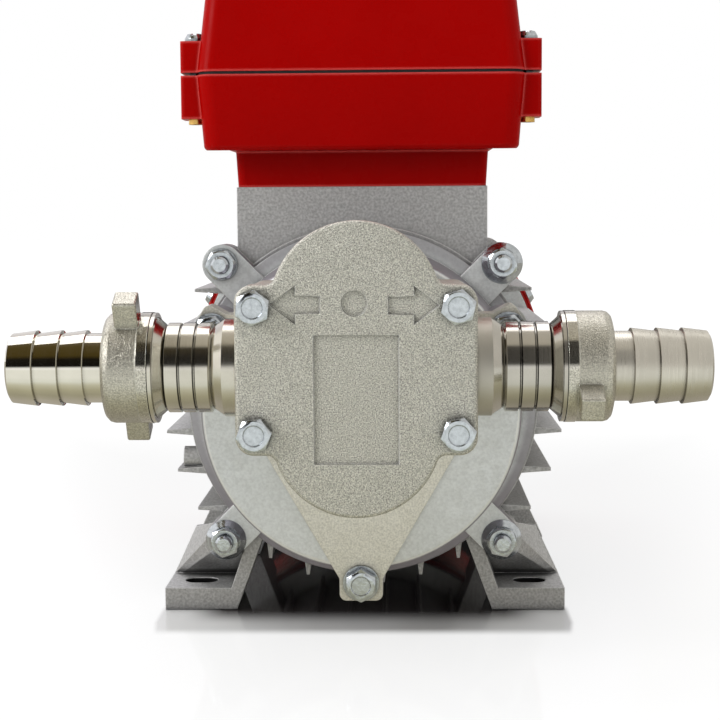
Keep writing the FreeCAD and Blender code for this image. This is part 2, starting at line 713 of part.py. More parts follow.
# Gears
def gear_profile(turn):
    """Outline of an involute spur gear about the origin, in the X-Z plane."""
    teeth = int(round(value("gear_teeth")))
    pitch_radius = value("gear_module") * teeth / 2
    pressure = math.radians(20)
    base_radius = pitch_radius * math.cos(pressure)
    outer = value(tip_radius)
    root = pitch_radius - 1.25 * value("gear_module")
    half_tooth = math.pi / (2 * teeth) - value("tooth_thinning") / (2 * pitch_radius)
    involute_at_pitch = math.tan(pressure) - pressure

    def flank_angle(radius):
        roll = math.acos(min(1.0, base_radius / radius))
        return half_tooth + involute_at_pitch - (math.tan(roll) - roll)

    def at(radius, angle):
        return Vector(radius * math.sin(angle), 0, radius * math.cos(angle))

    start = max(base_radius, root)
    steps = 5
    radii = [start + (outer - start) * step / steps for step in range(steps + 1)]
    edges = []
    for tooth in range(teeth):
        middle = turn + 2 * math.pi * tooth / teeth
        rising = [at(radius, middle - flank_angle(radius)) for radius in radii]
        falling = [at(radius, middle + flank_angle(radius)) for radius in reversed(radii)]
        foot_in = at(root, middle - flank_angle(start))
        foot_out = at(root, middle + flank_angle(start))
        next_foot = at(root, middle + 2 * math.pi / teeth - flank_angle(start))
        valley = at(root, middle + math.pi / teeth)
        flank = Part.BSplineCurve()
        flank.interpolate(rising)
        back = Part.BSplineCurve()
        back.interpolate(falling)
        if root < base_radius:
            edges.append(Part.LineSegment(foot_in, rising[0]).toShape())
        edges.append(flank.toShape())
        edges.append(Part.Arc(rising[-1], at(outer, middle), falling[0]).toShape())
        edges.append(back.toShape())
        if root < base_radius:
            edges.append(Part.LineSegment(falling[-1], foot_out).toShape())
        edges.append(Part.Arc(foot_out, valley, next_foot).toShape())
    return Part.Wire(edges)


def make_gear_blank(name, height, turn):
    item = doc.addObject("Part::Feature", name)
    item.Shape = Part.Face(gear_profile(turn)).extrude(Vector(0, value("gear_width"), 0))
    item.Placement = Placement(Vector(0, value(gear_front), value(height)), Rotation())
    return item


def key_block(name, play):
    """The key, or with some play its keyway, on top of the drive shaft."""
    width = f"(key_width + 2 * {play})"
    front = f"({gear_front} + (gear_width - key_length) / 2 - {play})"
    low = ("-" + width + " / 2", front, f"shaft_height + drive_shaft_radius - key_width / 2 - {play}")
    return block(name, (width, f"key_length + 2 * {play}", width), low)


def make_drive_gear():
    blank = make_gear_blank("drive_gear_blank", "shaft_height", 0)
    bore = cylinder("drive_gear_bore", "drive_shaft_radius + slip / 2", "gear_width",
                    ("0", gear_front, "shaft_height"))
    node(cut("drive_gear", blank, [bore, key_block("gear_keyway", "slip")]), "drive_gear")
    node(key_block("drive_key", "0"), "drive_key")


def make_idler():
    tooth = math.pi / value("gear_teeth")
    blank = make_gear_blank("idler_gear_blank", idler_height, tooth)
    bush_bore = "(idler_pin_radius + slip)"
    bush_outer = f"({bush_bore} + idler_bush_wall)"
    at = ("0", gear_front, idler_height)
    bore = cylinder("idler_gear_bore", bush_outer, "gear_width", at)
    node(cut("idler_gear", blank, [bore]), "idler_gear")
    node(tube("idler_bush", bush_outer, bush_bore, "gear_width", at), "idler_bush")
    pin = cylinder("idler_pin", "idler_pin_radius", f"{chamber_depth} + 2 * idler_pin_seat",
                   ("0", f"{chamber_front} - idler_pin_seat", idler_height))
    node(pin, "idler_pin")


def make_shaft_bushes():
    inner = "(drive_shaft_radius + slip)"
    outer = f"({inner} + shaft_bush_wall)"
    node(tube("front_bush", outer, inner, "front_bush_length",
              ("0", f"{gasket_front} - front_bush_length", "shaft_height")), "front_bush")
    node(tube("rear_bush", outer, inner, "rear_bush_length",
              ("0", chamber_back, "shaft_height")), "rear_bush")


def make_shaft_seal():
    """Lip seal: an L-shaped ring with its lip towards the gears."""
    lip = "(drive_shaft_radius + slip)"
    profile = [
        (lip, "1.2"),
        (f"{lip} + 1.2", "0.4"),
        (f"{lip} + 1.8", "seal_length - 2"),
        ("seal_radius - 1.4", "seal_length - 2"),
        ("seal_radius - 1.4", "0.4"),
        ("seal_radius", "0.4"),
        ("seal_radius", "seal_length"),
        (f"{lip} + 0.8", "seal_length"),
    ]
    node(turned("shaft_seal", profile, ("0", seal_front, "shaft_height")), "shaft_seal")


def make_flange_bolts():
    bolts = []
    washers = []
    seat = f"({flange_front} - washer_thickness)"
    grip = "washer_thickness + flange_thickness + flange_bolt_grip"
    for angle, across, height in flange_bolt_places():
        turn = 30 if angle == 270 else 12
        bolts.append(bolt("flange_bolt_%d" % angle, (across, seat, height), "-y", grip, turn))
        washers.append(tube("washer_%d" % angle, "washer_radius", "bolt_radius + slip",
                            "washer_thickness", (across, seat, height)))
    node(group("flange_bolts", bolts), "flange_bolts")
    node(group("flange_washers", washers), "flange_washers")


# Unions
def nipple_profile():
    body_side = "(cover_half_width - body_inset)"
    neck = f"({port_y} - {body_front} - face_play)"
    points = [
        ("union_bore", f"{body_side} - port_depth + 0.4"),
        ("port_radius", f"{body_side} - port_depth + 0.4"),
        ("port_radius", body_side),
        (neck, body_side),
        (neck, "cover_half_width + 0.3"),
        ("collar_radius", "cover_half_width + 0.3"),
        ("collar_radius", "collar_end"),
        ("ring_radius - 1", "collar_end + collar_chamfer"),
    ]
    start = "collar_end + collar_chamfer"
    for index in range(3):
        near = f"{start} + {index} * (ring_width + ring_gap) + ring_gap"
        points.append(("ring_radius - ring_gap - 0.2", near))
        points.append(("ring_radius - ring_gap", near))
        points.append(("ring_radius", f"{near} + ring_gap / 2"))
        points.append(("ring_radius", f"{near} + ring_width - ring_gap / 2"))
        points.append(("ring_radius - ring_gap", f"{near} + ring_width"))
        points.append(("ring_radius - ring_gap - 0.2", f"{near} + ring_width"))
    points += [
        ("waist_radius", f"{rim_start} - flare_length"),
        ("flare_radius", f"{rim_start} - 0.2"),
        ("flare_radius", rim_start),
        ("rim_radius", rim_start),
        ("rim_radius", f"{rim_start} + rim_width"),
        ("thread_radius", f"{rim_start} + rim_width"),
        ("thread_radius", thread_end),
        ("union_bore", thread_end),
    ]
    return points


def tail_profile():
    shank = "(barb_radius - barb_step)"
    ridge = f"({nut_end} + tail_plain)"
    points = [
        ("tail_bore", tail_start),
        ("tail_collar_radius", tail_start),
        ("tail_collar_radius", f"{tail_start} + tail_collar_width"),
        (shank, f"{tail_start} + tail_collar_width"),
    ]
    for index in range(3):
        points.append((shank, f"{ridge} + {index} * barb_pitch - 0.15"))
        points.append(("barb_radius", f"{ridge} + {index} * barb_pitch"))
    points += [
        (shank, f"{nut_end} + tail_length - 0.6"),
        ("tail_bore + 1", f"{nut_end} + tail_length"),
        ("tail_bore", f"{nut_end} + tail_length"),
    ]
    return points


def wing_nut_profile():
    """Nut with a threaded bore and an inner shoulder behind the tail's collar."""
    shoulder = f"({tail_start} + tail_collar_width + face_play)"
    return [
        ("thread_radius + face_play", nut_start),
        ("rim_radius + 0.15", nut_start),
        ("rim_radius + 0.15", f"{nut_start} + nut_band"),
        ("rim_radius", f"{nut_start} + nut_band + 0.15"),
        ("rim_radius", f"{nut_end} - nut_shoulder"),
        ("rim_radius - nut_shoulder * 0.134", f"{nut_end} - nut_shoulder * 0.5"),
        ("rim_radius - nut_shoulder * 0.5", f"{nut_end} - nut_shoulder * 0.134"),
        ("rim_radius - nut_shoulder", nut_end),
        ("barb_radius + slip", nut_end),
        ("barb_radius + slip", shoulder),
        ("thread_radius + face_play", shoulder),
    ]


def nut_lug(name, heading, angle):
    """One lug of a wing nut, at an angle about the port axis."""
    item = doc.addObject("Part::Box", name)
    inner = "(rim_radius - 2)"
    bind(item, {"Length": f"lug_reach - {inner}", "Width": "lug_thickness", "Height": "lug_width"})
    turn = HEADINGS[heading].multiply(Rotation(Vector(0, 0, 1), angle))
    item.Placement = Placement(Vector(0, 0, 0), turn)
    along = turn.multVec(Vector(1, 0, 0))
    across = turn.multVec(Vector(0, 1, 0))
    sign = 1 if heading == "x" else -1
    start = f"{nut_start} + nut_band - 0.15"
    bind(item, {
        "Placement.Base.x": f"{sign} * ({start})",
        "Placement.Base.y": f"{port_y} + {inner} * {along.y:.6f} - lug_thickness / 2 * {across.y:.6f}",
        "Placement.Base.z": f"{port_height} + {inner} * {along.z:.6f} - lug_thickness / 2 * {across.z:.6f}",
    })
    return item


def make_union(side, heading, lug_angle):
    at = ("0", port_y, port_height)
    node(turned(side + "_nipple", nipple_profile(), at, heading), side + "_nipple")
    seal = tube(side + "_tail_gasket", "tail_collar_radius - 0.2", "union_bore", "tail_gasket_thickness",
                (f"{SIDES[side]} * {thread_end}", port_y, port_height), heading)
    node(seal, side + "_tail_gasket")
    node(turned(side + "_hose_tail", tail_profile(), at, heading), side + "_hose_tail")
    ring = turned(side + "_nut_ring", wing_nut_profile(), at, heading)
    lugs = []
    for turn in (0, 180):
        lug = nut_lug("%s_lug_%d" % (side, turn), heading, lug_angle + turn)
        lugs.append(rounded(lug.Name + "_soft", lug, lambda edge: "lug_width / 10"))
    node(fuse(side + "_wing_nut", [ring] + lugs), side + "_wing_nut")


# Front shield
def make_front_shield():
    depth = "(shield_face - housing_front)"
    seat = "(recess_depth + 2)"
    profile = [
        ("hub_bore", "recess_depth"),
        ("pilot_radius + slip", "recess_depth"),
        ("pilot_radius + slip", "0"),
        ("shield_face_radius", "0"),
        ("shield_barrel_radius", f"{depth} - shield_rim_width"),
        ("shield_rim_radius", f"{depth} - shield_rim_width"),
        ("shield_rim_radius", depth),
        ("shield_barrel_radius - shield_wall", depth),
        ("shield_face_radius - shield_wall", "shield_plate"),
        ("hub_radius", "shield_plate"),
        ("hub_radius", f"{seat} + bearing_width"),
        ("bearing_outer", f"{seat} + bearing_width"),
        ("bearing_outer", seat),
        ("hub_bore", seat),
    ]
    bell = turned("shield_bell", profile, ("0", "-shield_face", "shaft_height"))
    face = value("-shield_face")
    edge_radius = value("shield_face_radius")

    def radius_of(edge):
        outer = flat_at(edge, 1, face) and abs(edge.BoundBox.XMax - edge_radius) < 0.01
        return "shield_rounding" if outer else None

    parts = [rounded("shield_soft", bell, radius_of)]
    ear_front = "(-housing_front - tie_ear_thickness)"
    for name, across, height in tie_rod_places():
        parts.append(cylinder("shield_ear_" + name, "tie_ear_radius", "tie_ear_thickness",
                              (across, ear_front, height)))
    for angle in (45, 135, 225, 315):
        parts.append(spoke("shield_ear_arm_%d" % angle, "2 * tie_ear_radius", "shield_barrel_radius - 2",
                           "tie_rod_offset * 1.4142", ear_front, "tie_ear_thickness", angle))
    lug_depth = "(flange_bolt_grip + 2)"
    for angle, across, height in flange_bolt_places():
        parts.append(cylinder("shield_lug_%d" % angle, "flange_arm_width / 2", lug_depth,
                              (across, "-shield_face", height)))
        parts.append(spoke("shield_lug_arm_%d" % angle, "flange_arm_width", "shield_face_radius - 2",
                           "flange_bolt_circle", "-shield_face", lug_depth, angle))
    blank = fuse("shield_blank", parts)
    holes = []
    for name, across, height in tie_rod_places():
        holes.append(cylinder("shield_rod_hole_" + name, bolt_hole, "tie_ear_thickness",
                              (across, ear_front, height)))
    for angle, across, height in flange_bolt_places():
        holes.append(cylinder("shield_bolt_hole_%d" % angle, "bolt_radius + slip", "flange_bolt_grip + 0.5",
                              (across, "-shield_face", height)))
    node(cut("front_shield", blank, holes), "front_shield")


# Housing
def lofted(name, outlines, front, back):
    """A body between two outlines in the X-Z plane, the first at its front."""
    body = doc.addObject("PartDesign::Body", name)
    depth = f"({back}) - ({front})"
    far = draw(body, name + "_far", "XY_Plane", outlines[1])
    near = draw(body, name + "_near", "XY_Plane", outlines[0])
    bind(near, {"AttachmentOffset.Base.z": depth})
    doc.recompute()
    loft = body.newObject("PartDesign::AdditiveLoft", name + "_loft")
    loft.Profile = far
    loft.Sections = [near]
    loft.Ruled = True
    body.Tip = loft
    put(body, ("0", back, "0"), "-y")
    return body


def make_foot():
    """Pad, sloping strut and cross web of the foot at +X, towards the pump."""
    end = "(-foot_span_y / 2 - foot_lip)"
    inner = "(foot_outer - foot_pad_width)"
    pad = block("foot_pad", ("foot_pad_width", "foot_pad_length", "foot_thickness"), (inner, end, "0"))
    strut_points = [
        (inner, "0"),
        (f"{inner} + strut_wall", "0"),
        (f"{inner} + strut_wall - strut_lean", "strut_rise + 2"),
        (f"{inner} - strut_lean", "strut_rise"),
    ]
    strut = plate("foot_strut", strut_points, end, "foot_pad_length")
    web_points = [
        (f"{inner} + 1", "1"),
        ("foot_outer", "1"),
        ("foot_outer", "foot_thickness"),
        ("foot_outer - web_lean", "web_rise"),
        ("tie_rod_offset + tie_ear_radius", "web_rise + 0.5"),
        ("tie_rod_offset", "shaft_height - tie_rod_offset + 3"),
        (f"{inner} - strut_lean + 3", "strut_rise"),
    ]
    web = plate("foot_web", web_points, f"{end} + foot_pad_length - web_wall", "web_wall")
    return fuse("foot", [pad, strut, web])


def make_gusset():
    """The body between the tie rod ear and the cross web of the foot at +X, towards the pump."""
    end = "(-foot_span_y / 2 - foot_lip)"
    rod_z = "(shaft_height - tie_rod_offset)"
    reach = "tie_ear_radius * 0.72"
    near = [
        (f"tie_rod_offset - {reach}", f"{rod_z} - {reach}"),
        (f"tie_rod_offset + {reach}", f"{rod_z} - {reach}"),
        ("tie_rod_offset + tie_ear_radius * 0.97", rod_z),
        (f"tie_rod_offset + {reach}", f"{rod_z} + {reach}"),
        (f"tie_rod_offset - {reach}", f"{rod_z} + {reach}"),
    ]
    far = [
        ("foot_outer - foot_pad_width + 0.5", "foot_thickness - 0.5"),
        ("foot_outer - gusset_end", "foot_thickness - 0.5"),
        ("foot_outer - 0.2", "foot_thickness"),
        ("foot_outer - web_lean", "web_rise"),
        ("tie_rod_offset - tie_ear_radius", "web_rise + 2"),
    ]
    web_front = f"{end} + foot_pad_length - web_wall"
    return lofted("gusset", [near, far], "-housing_front + 0.1", f"{web_front} + 0.1")


def slot_tool(name, side, end):
    """A foot slot, long across the motor."""
    half = "(foot_slot_length - foot_slot_width) / 2"
    width = "foot_slot_width"
    at_y = f"{end} * foot_span_y / 2"
    parts = []
    for label, sign in (("inner", -1), ("outer", 1)):
        parts.append(cylinder(f"{name}_{label}", f"{width} / 2", "foot_thickness",
                              (f"{side} * foot_span_x / 2 + {sign} * {half}", at_y, "0"), "z"))
    parts.append(block(name + "_middle", (f"2 * {half}", width, "foot_thickness"),
                       (f"{side} * foot_span_x / 2 - {half}", f"{at_y} - {width} / 2", "0")))
    return fuse(name, parts)


def make_fin(name, offset, tip_radius, base, turn):
    """A fin that gets thinner outwards; turned about the shaft, 0 is up and 90 is right."""
    item = doc.addObject("Part::Wedge", name)
    bind(item, {
        "Xmin": "-fin_root / 2",
        "Xmax": "fin_root / 2",
        "Zmin": "-housing_back + fin_inset",
        "Zmax": "housing_front - fin_inset",
        "X2min": "-fin_tip / 2",
        "X2max": "fin_tip / 2",
        "Z2min": "-housing_back + fin_inset",
        "Z2max": "housing_front - fin_inset",
        "Ymin": f"sqrt(housing_radius ^ 2 - ({offset}) ^ 2) - 2",
        "Ymax": f"sqrt({tip_radius} ^ 2 - ({offset}) ^ 2)",
    })
    across = Rotation(Vector(0, 1, 0), turn).multiply(Rotation(Vector(1, 0, 0), 90))
    item.Placement = Placement(Vector(0, 0, 0), across)
    bind(item, {"Placement.Base.x": base[0], "Placement.Base.z": base[1]})
    return item


def make_fins():
    fins = []
    for index in range(3):
        offset = f"(side_fin_first + {index} * side_fin_pitch)"
        for level in (-1, 1):
            for turn in (-90, 90):
                name = "side_fin_%d" % len(fins)
                fins.append(make_fin(name, offset, "side_fin_radius",
                                     ("0", f"shaft_height + {level} * {offset}"), turn))
    for index in range(3):
        offset = f"(bottom_fin_first + {index} * bottom_fin_pitch)"
        for side in (-1, 1):
            name = "bottom_fin_%d" % len(fins)
            fins.append(make_fin(name, offset, "bottom_fin_radius",
                                 (f"{side} * {offset}", "shaft_height"), 180))
    return fins


def make_motor_housing():
    length = "(housing_front + housing_back)"
    parts = [cylinder("housing_ring", "housing_radius", length, ("0", "-housing_front", "shaft_height"))]
    parts += make_fins()
    for name, across, height in tie_rod_places():
        for label, start in (("front", "-housing_front"), ("back", "housing_back - housing_ear_length")):
            parts.append(cylinder(f"housing_ear_{label}_{name}", "tie_ear_radius", "housing_ear_length",
                                  (across, start, height)))
    for angle in (45, 135, 225, 315):
        for label, start in (("front", "-housing_front"), ("back", "housing_back - housing_ear_length")):
            parts.append(spoke(f"housing_ear_arm_{label}_{angle}", "2 * tie_ear_radius",
                               "housing_radius - 3", "tie_rod_offset * 1.4142", start,
                               "housing_ear_length", angle))
    parts.append(middle_block("pedestal", "pedestal_width", "-pedestal_front", "pedestal_back",
                              "shaft_height", "pedestal_top"))
    right_front = make_foot()
    left_front = mirror("foot_left_front", right_front, Vector(1, 0, 0))
    right_back = mirror("foot_right_back", right_front, Vector(0, 1, 0))
    left_back = mirror("foot_left_back", left_front, Vector(0, 1, 0))
    parts += [right_front, left_front, right_back, left_back]
    right_gusset = make_gusset()
    left_gusset = mirror("gusset_left", right_gusset, Vector(1, 0, 0))
    rear_gussets = [mirror("gusset_%s_back" % name, item, Vector(0, 1, 0))
                    for name, item in (("right", right_gusset), ("left", left_gusset))]
    behind = middle_block("behind_housing", "2 * foot_outer", "housing_back", "housing_front",
                          "0", "shaft_height")
    rear_pair = fuse("rear_gusset_pair", rear_gussets)
    parts += [right_gusset, left_gusset, cut("rear_gussets", rear_pair, [behind])]
    boss_y = "(-housing_front + earth_boss_inset + earth_boss_radius)"
    boss_z = "(shaft_height - earth_boss_drop)"
    boss_root = "(sqrt(housing_bore ^ 2 - earth_boss_drop ^ 2) + 0.5)"
    parts.append(cylinder("earth_boss", "earth_boss_radius", f"earth_boss_reach - {boss_root}",
                          ("-earth_boss_reach", boss_y, boss_z), "x"))
    blank = fuse("housing_blank", parts)
    holes = [cylinder("housing_bore_tool", "housing_bore", length, ("0", "-housing_front", "shaft_height"))]
    for name, across, height in tie_rod_places():
        holes.append(cylinder("housing_rod_hole_" + name, bolt_hole, length,
                              (across, "-housing_front", height)))
    for side, end in CORNERS:
        holes.append(slot_tool("foot_slot_%d_%d" % (side + 1, end + 1), side, end))
    holes.append(cylinder("earth_hole", "earth_hole_radius", "earth_hole_depth",
                          ("-earth_boss_reach", boss_y, boss_z), "x"))
    rear_length = "(foot_span_y / 2 + foot_lip - housing_back + 1)"
    holes.append(cylinder("rear_room", "fan_cover_radius + rear_clearance", rear_length,
                          ("0", "housing_back", "shaft_height")))
    for name, across, height in tie_rod_places():
        holes.append(cylinder("rear_ear_room_" + name, "rear_ear_radius + rear_clearance", rear_length,
                              (across, "housing_back", height)))
    pocket = middle_block("pedestal_pocket_block", "pedestal_width - 2 * pedestal_wall",
                          "-pedestal_front + pedestal_wall", "pedestal_back - pedestal_wall",
                          "pedestal_top - pedestal_pocket", "pedestal_top")
    posts = []
    for name, screw_x, screw_y in base_screw_places():
        posts.append(cylinder("screw_post_" + name, "base_screw_post", "pedestal_pocket",
                              (screw_x, screw_y, "pedestal_top - pedestal_pocket"), "z"))
    holes.append(cut("pedestal_pocket_tool", pocket, posts))
    holes.append(cylinder("lead_hole", "lead_hole_radius", "pedestal_top - shaft_height",
                          ("0", "-core_centre - core_length / 2 - winding_length / 2", "shaft_height"), "z"))
    for name, screw_x, screw_y in base_screw_places():
        holes.append(cylinder("base_screw_hole_" + name, small_screw_thread, "base_screw_grip + 1",
                              (screw_x, screw_y, "pedestal_top - base_screw_grip - 1"), "z"))
    node(cut("motor_housing", blank, holes), "motor_housing")


# Bearings, shaft, stator and rotor
def make_bearing(name, front):
    """Two rings; the shield washer of the outer one nearly closes the gap between them."""
    at = ("0", front, "shaft_height")
    outer = [
        ("bearing_inner + race_wall + face_play", "0.4"),
        ("bearing_outer - race_wall", "0.4"),
        ("bearing_outer - race_wall", "0"),
        ("bearing_outer", "0"),
        ("bearing_outer", "bearing_width"),
        ("bearing_outer - race_wall", "bearing_width"),
        ("bearing_outer - race_wall", "bearing_width - 0.4"),
        ("bearing_inner + race_wall + face_play", "bearing_width - 0.4"),
        ("bearing_inner + race_wall + face_play", "bearing_width - 1.2"),
        ("bearing_outer - race_wall", "bearing_width - 1.2"),
        ("bearing_outer - race_wall", "1.2"),
        ("bearing_inner + race_wall + face_play", "1.2"),
    ]
    node(turned(name + "_outer", outer, at), name + "_outer")
    inner = tube(name + "_inner", "bearing_inner + race_wall", "bearing_inner", "bearing_width", at)
    node(inner, name + "_inner")


def make_motor_shaft():
    start = f"({gasket_front} - front_bush_length)"
    step = "(-shield_face + pilot_depth)"
    front_back = f"({front_bearing_front} + bearing_width)"
    rear_front = f"({rear_bearing_back} - bearing_width)"
    seat = "bearing_inner"
    profile = [
        ("0", start),
        ("drive_shaft_radius - 0.8", start),
        ("drive_shaft_radius", f"{start} + 0.8"),
        ("drive_shaft_radius", step),
        (seat, step),
        (seat, front_back),
        ("core_seat_radius", front_back),
        ("core_seat_radius", rear_front),
        (seat, rear_front),
        (seat, f"{rear_plate_back} + 1"),
        ("fan_seat_radius", f"{rear_plate_back} + 1"),
        ("fan_seat_radius", shaft_back),
        ("0", shaft_back),
    ]
    blank = turned("shaft_blank", profile, ("0", "0", "shaft_height"))
    node(cut("motor_shaft", blank, [key_block("shaft_keyway", "slip")]), "motor_shaft")


def make_active_parts():
    at = ("0", core_front, "shaft_height")
    node(tube("stator_core", "housing_bore", "rotor_radius + air_gap", "core_length", at), "stator_core")
    node(tube("rotor_core", "rotor_radius", "core_seat_radius", "core_length", at), "rotor_core")
    heads = []
    for name, start, heading in (("front", core_front, "-y"), ("back", f"{core_front} + core_length", "y")):
        profile = [
            ("winding_inner", "0"),
            ("winding_outer + 3", "0"),
            ("winding_outer", "winding_length - 2"),
            ("winding_outer - 3", "winding_length"),
            ("winding_inner + 3", "winding_length"),
            ("winding_inner", "winding_length - 3"),
        ]
        heads.append(turned("winding_" + name, profile, ("0", start, "shaft_height"), heading))
    node(group("stator_windings", heads), "stator_windings")


# Tie rods and their nuts
def make_tie_rods():
    rods = []
    nuts = []
    ear_front = "(-housing_front - tie_ear_thickness)"
    start = f"({ear_front} - tie_nut_height - tie_rod_stand)"
    turns = {"left_low": 20, "left_high": 5, "right_low": 48, "right_high": 32}
    for name, across, height in tie_rod_places():
        shank = cylinder("rod_" + name, "bolt_radius", f"housing_back + tie_rod_seat - {start} - 0.6",
                         (across, f"{start} + 0.6", height))
        tip = cone("rod_tip_" + name, "bolt_radius - 0.6", "bolt_radius", "0.6", (across, start, height))
        rods.append(fuse("tie_rod_" + name, [shank, tip]))
        at = (across, ear_front, height)
        flange = "small_nut_flange" if name == "left_high" else "tie_nut_flange"
        head = hex_head("nut_head_" + name, "bolt_across / 2", "tie_nut_height", at, "-y", turns[name])
        skirt = cone("nut_skirt_" + name, flange, "bolt_across / 2 + 0.3",
                     "tie_nut_flange_height + 0.6", at, "-y")
        bore = cylinder("nut_bore_" + name, "bolt_radius + slip", "tie_nut_height", at, "-y")
        nuts.append(cut("tie_nut_" + name, fuse("nut_blank_" + name, [head, skirt]), [bore]))
    node(group("tie_rods", rods), "tie_rods")
    node(group("tie_rod_nuts", nuts), "tie_rod_nuts")


# Rear shield, fan and fan cover
def make_rear_shield():
    register = "1.5"
    hub_front = "(rear_shield_rim - rear_hub_length)"
    profile = [
        ("bearing_outer", hub_front),
        ("hub_radius", hub_front),
        ("hub_radius", "0.5"),
        ("housing_bore - 3", "0.5"),
        ("housing_bore - 3", f"-{register}"),
        ("housing_bore - slip", f"-{register}"),
        ("housing_bore - slip", "0"),
        ("rear_shield_radius", "0"),
        ("rear_shield_radius", "rear_shield_rim"),
        ("bearing_inner + 0.6", "rear_shield_rim"),
        ("bearing_inner + 0.6", "rear_shield_rim - 3"),
        ("bearing_outer", "rear_shield_rim - 3"),
    ]
    plate_body = turned("rear_plate", profile, ("0", "housing_back", "shaft_height"))
    parts = [plate_body]
    for name, across, height in tie_rod_places():
        parts.append(cylinder("rear_ear_" + name, "rear_ear_radius", "rear_shield_rim",
                              (across, "housing_back", height)))
    blank = fuse("rear_shield_blank", parts)
    holes = []
    for name, across, height in tie_rod_places():
        holes.append(cylinder("rear_rod_hole_" + name, "bolt_radius + slip", "tie_rod_seat + 0.3",
                              (across, "housing_back", height)))
    for angle in COVER_SCREWS:
        holes.append(radial_cylinder("rear_screw_hole_%d" % angle, small_screw_thread,
                                     "rear_shield_radius - 8", "rear_shield_radius", cover_screw_y, angle))
    node(cut("rear_shield", blank, holes), "rear_shield")


def radial_cylinder(name, radius, inner, outer, along, angle, end_radius=None):
    """A cylinder, or a cone, on a radius of the motor axis."""
    if end_radius is None:
        item = doc.addObject("Part::Cylinder", name)
        bind(item, {"Radius": radius, "Height": f"({outer}) - ({inner})"})
    else:
        item = doc.addObject("Part::Cone", name)
        bind(item, {"Radius1": radius, "Radius2": end_radius, "Height": f"({outer}) - ({inner})"})
    item.Placement = Placement(Vector(0, 0, 0), Rotation(Vector(0, 1, 0), 90 - angle))
    bind(item, {
        "Placement.Base.x": f"({inner}) * cos({angle} deg)",
        "Placement.Base.y": along,
        "Placement.Base.z": f"shaft_height + ({inner}) * sin({angle} deg)",
    })
    return item


def make_cooling_fan():
    blades = int(round(value("fan_blades")))
    hub = cylinder("fan_hub", "fan_hub_radius", "fan_hub_length", ("0", fan_front, "shaft_height"))
    disc = cylinder("fan_disc", "fan_radius", "fan_plate", ("0", fan_front, "shaft_height"))
    parts = [hub, disc]
    for index in range(blades):
        parts.append(spoke("fan_blade_%d" % index, "fan_blade_thickness", "fan_hub_radius - 1",
                           "fan_radius - 1", fan_front, "fan_blade_depth + fan_plate",
                           360 * index / blades))
    bore = cylinder("fan_bore", "fan_seat_radius", "fan_hub_length", ("0", fan_front, "shaft_height"))
    node(cut("cooling_fan", fuse("fan_blank", parts), [bore]), "cooling_fan")


def make_fan_cover():
    """A cup with a ring of radial air slots in its back, made by a polar pattern."""
    depth = "(fan_cover_back - fan_cover_front)"
    straight = "(housing_back + rear_shield_rim - fan_cover_front)"
    soft = "fan_cover_rounding"
    wall = "fan_cover_wall"
    profile = [
        (f"fan_cover_radius - {wall}", "0"),
        ("fan_cover_radius", "0"),
        ("fan_cover_radius", straight),
        ("fan_cover_end_radius", f"{depth} - {soft}"),
        (f"fan_cover_end_radius - {soft} * 0.29", f"{depth} - {soft} * 0.29"),
        (f"fan_cover_end_radius - {soft}", depth),
        ("0", depth),
        ("0", f"{depth} - {wall}"),
        (f"fan_cover_end_radius - {soft}", f"{depth} - {wall}"),
        (f"fan_cover_end_radius - {wall} - {soft} * 0.2", f"{depth} - {wall} - {soft} * 0.2"),
        (f"fan_cover_end_radius - {wall}", f"{depth} - {soft}"),
        (f"fan_cover_radius - {wall}", straight),
    ]
    body = turned("fan_cover", profile, ("0", "fan_cover_front", "shaft_height"))
    slot_points = [
        ("slot_inner", "-slot_width / 2"),
        ("slot_outer", "-slot_width / 2"),
        ("slot_outer + slot_width / 3", "-slot_width / 4"),
        ("slot_outer + slot_width / 3", "slot_width / 4"),
        ("slot_outer", "slot_width / 2"),
        ("slot_inner", "slot_width / 2"),
        ("slot_inner - slot_width / 3", "slot_width / 4"),
        ("slot_inner - slot_width / 3", "-slot_width / 4"),
    ]
    sketch = draw(body, "air_slot_outline", "XY_Plane", slot_points)
    bind(sketch, {"AttachmentOffset.Base.z": depth})
    slot = body.newObject("PartDesign::Pocket", "air_slot")
    slot.Profile = sketch
    bind(slot, {"Length": f"2 * {wall}"})
    body.Tip = slot
    pattern = body.newObject("PartDesign::PolarPattern", "air_slots")
    pattern.Originals = [slot]
    axis = [item for item in body.Origin.OriginFeatures if item.Role == "Z_Axis"][0]
    pattern.Axis = (axis, [""])
    pattern.Angle = 360
    pattern.Occurrences = int(round(value("slot_count")))
    body.Tip = pattern
    holes = []
    for name, across, height in tie_rod_places():
        holes.append(cylinder("cover_notch_" + name, "rear_ear_radius + rear_clearance",
                              "housing_back + rear_shield_rim + rear_clearance - fan_cover_front",
                              (across, "fan_cover_front", height)))
    for angle in COVER_SCREWS:
        holes.append(radial_cylinder("cover_screw_hole_%d" % angle, small_screw_hole, "rear_shield_radius",
                                     "fan_cover_radius + 1", cover_screw_y, angle))
    body.Label = "fan_cover_shell"
    node(cut("fan_cover_drilled", body, holes), "fan_cover")
    screws = []
    for angle in COVER_SCREWS:
        shank = radial_cylinder("cover_screw_shank_%d" % angle, "small_screw_radius",
                                "rear_shield_radius - 7", "fan_cover_radius", cover_screw_y, angle)
        head = radial_cylinder("cover_screw_head_%d" % angle, "small_screw_head", "fan_cover_radius",
                               "fan_cover_radius + 1.9", cover_screw_y, angle, "small_screw_head * 0.7")
        screws.append(fuse("cover_screw_%d" % angle, [shank, head]))
    node(group("fan_cover_screws", screws), "fan_cover_screws")


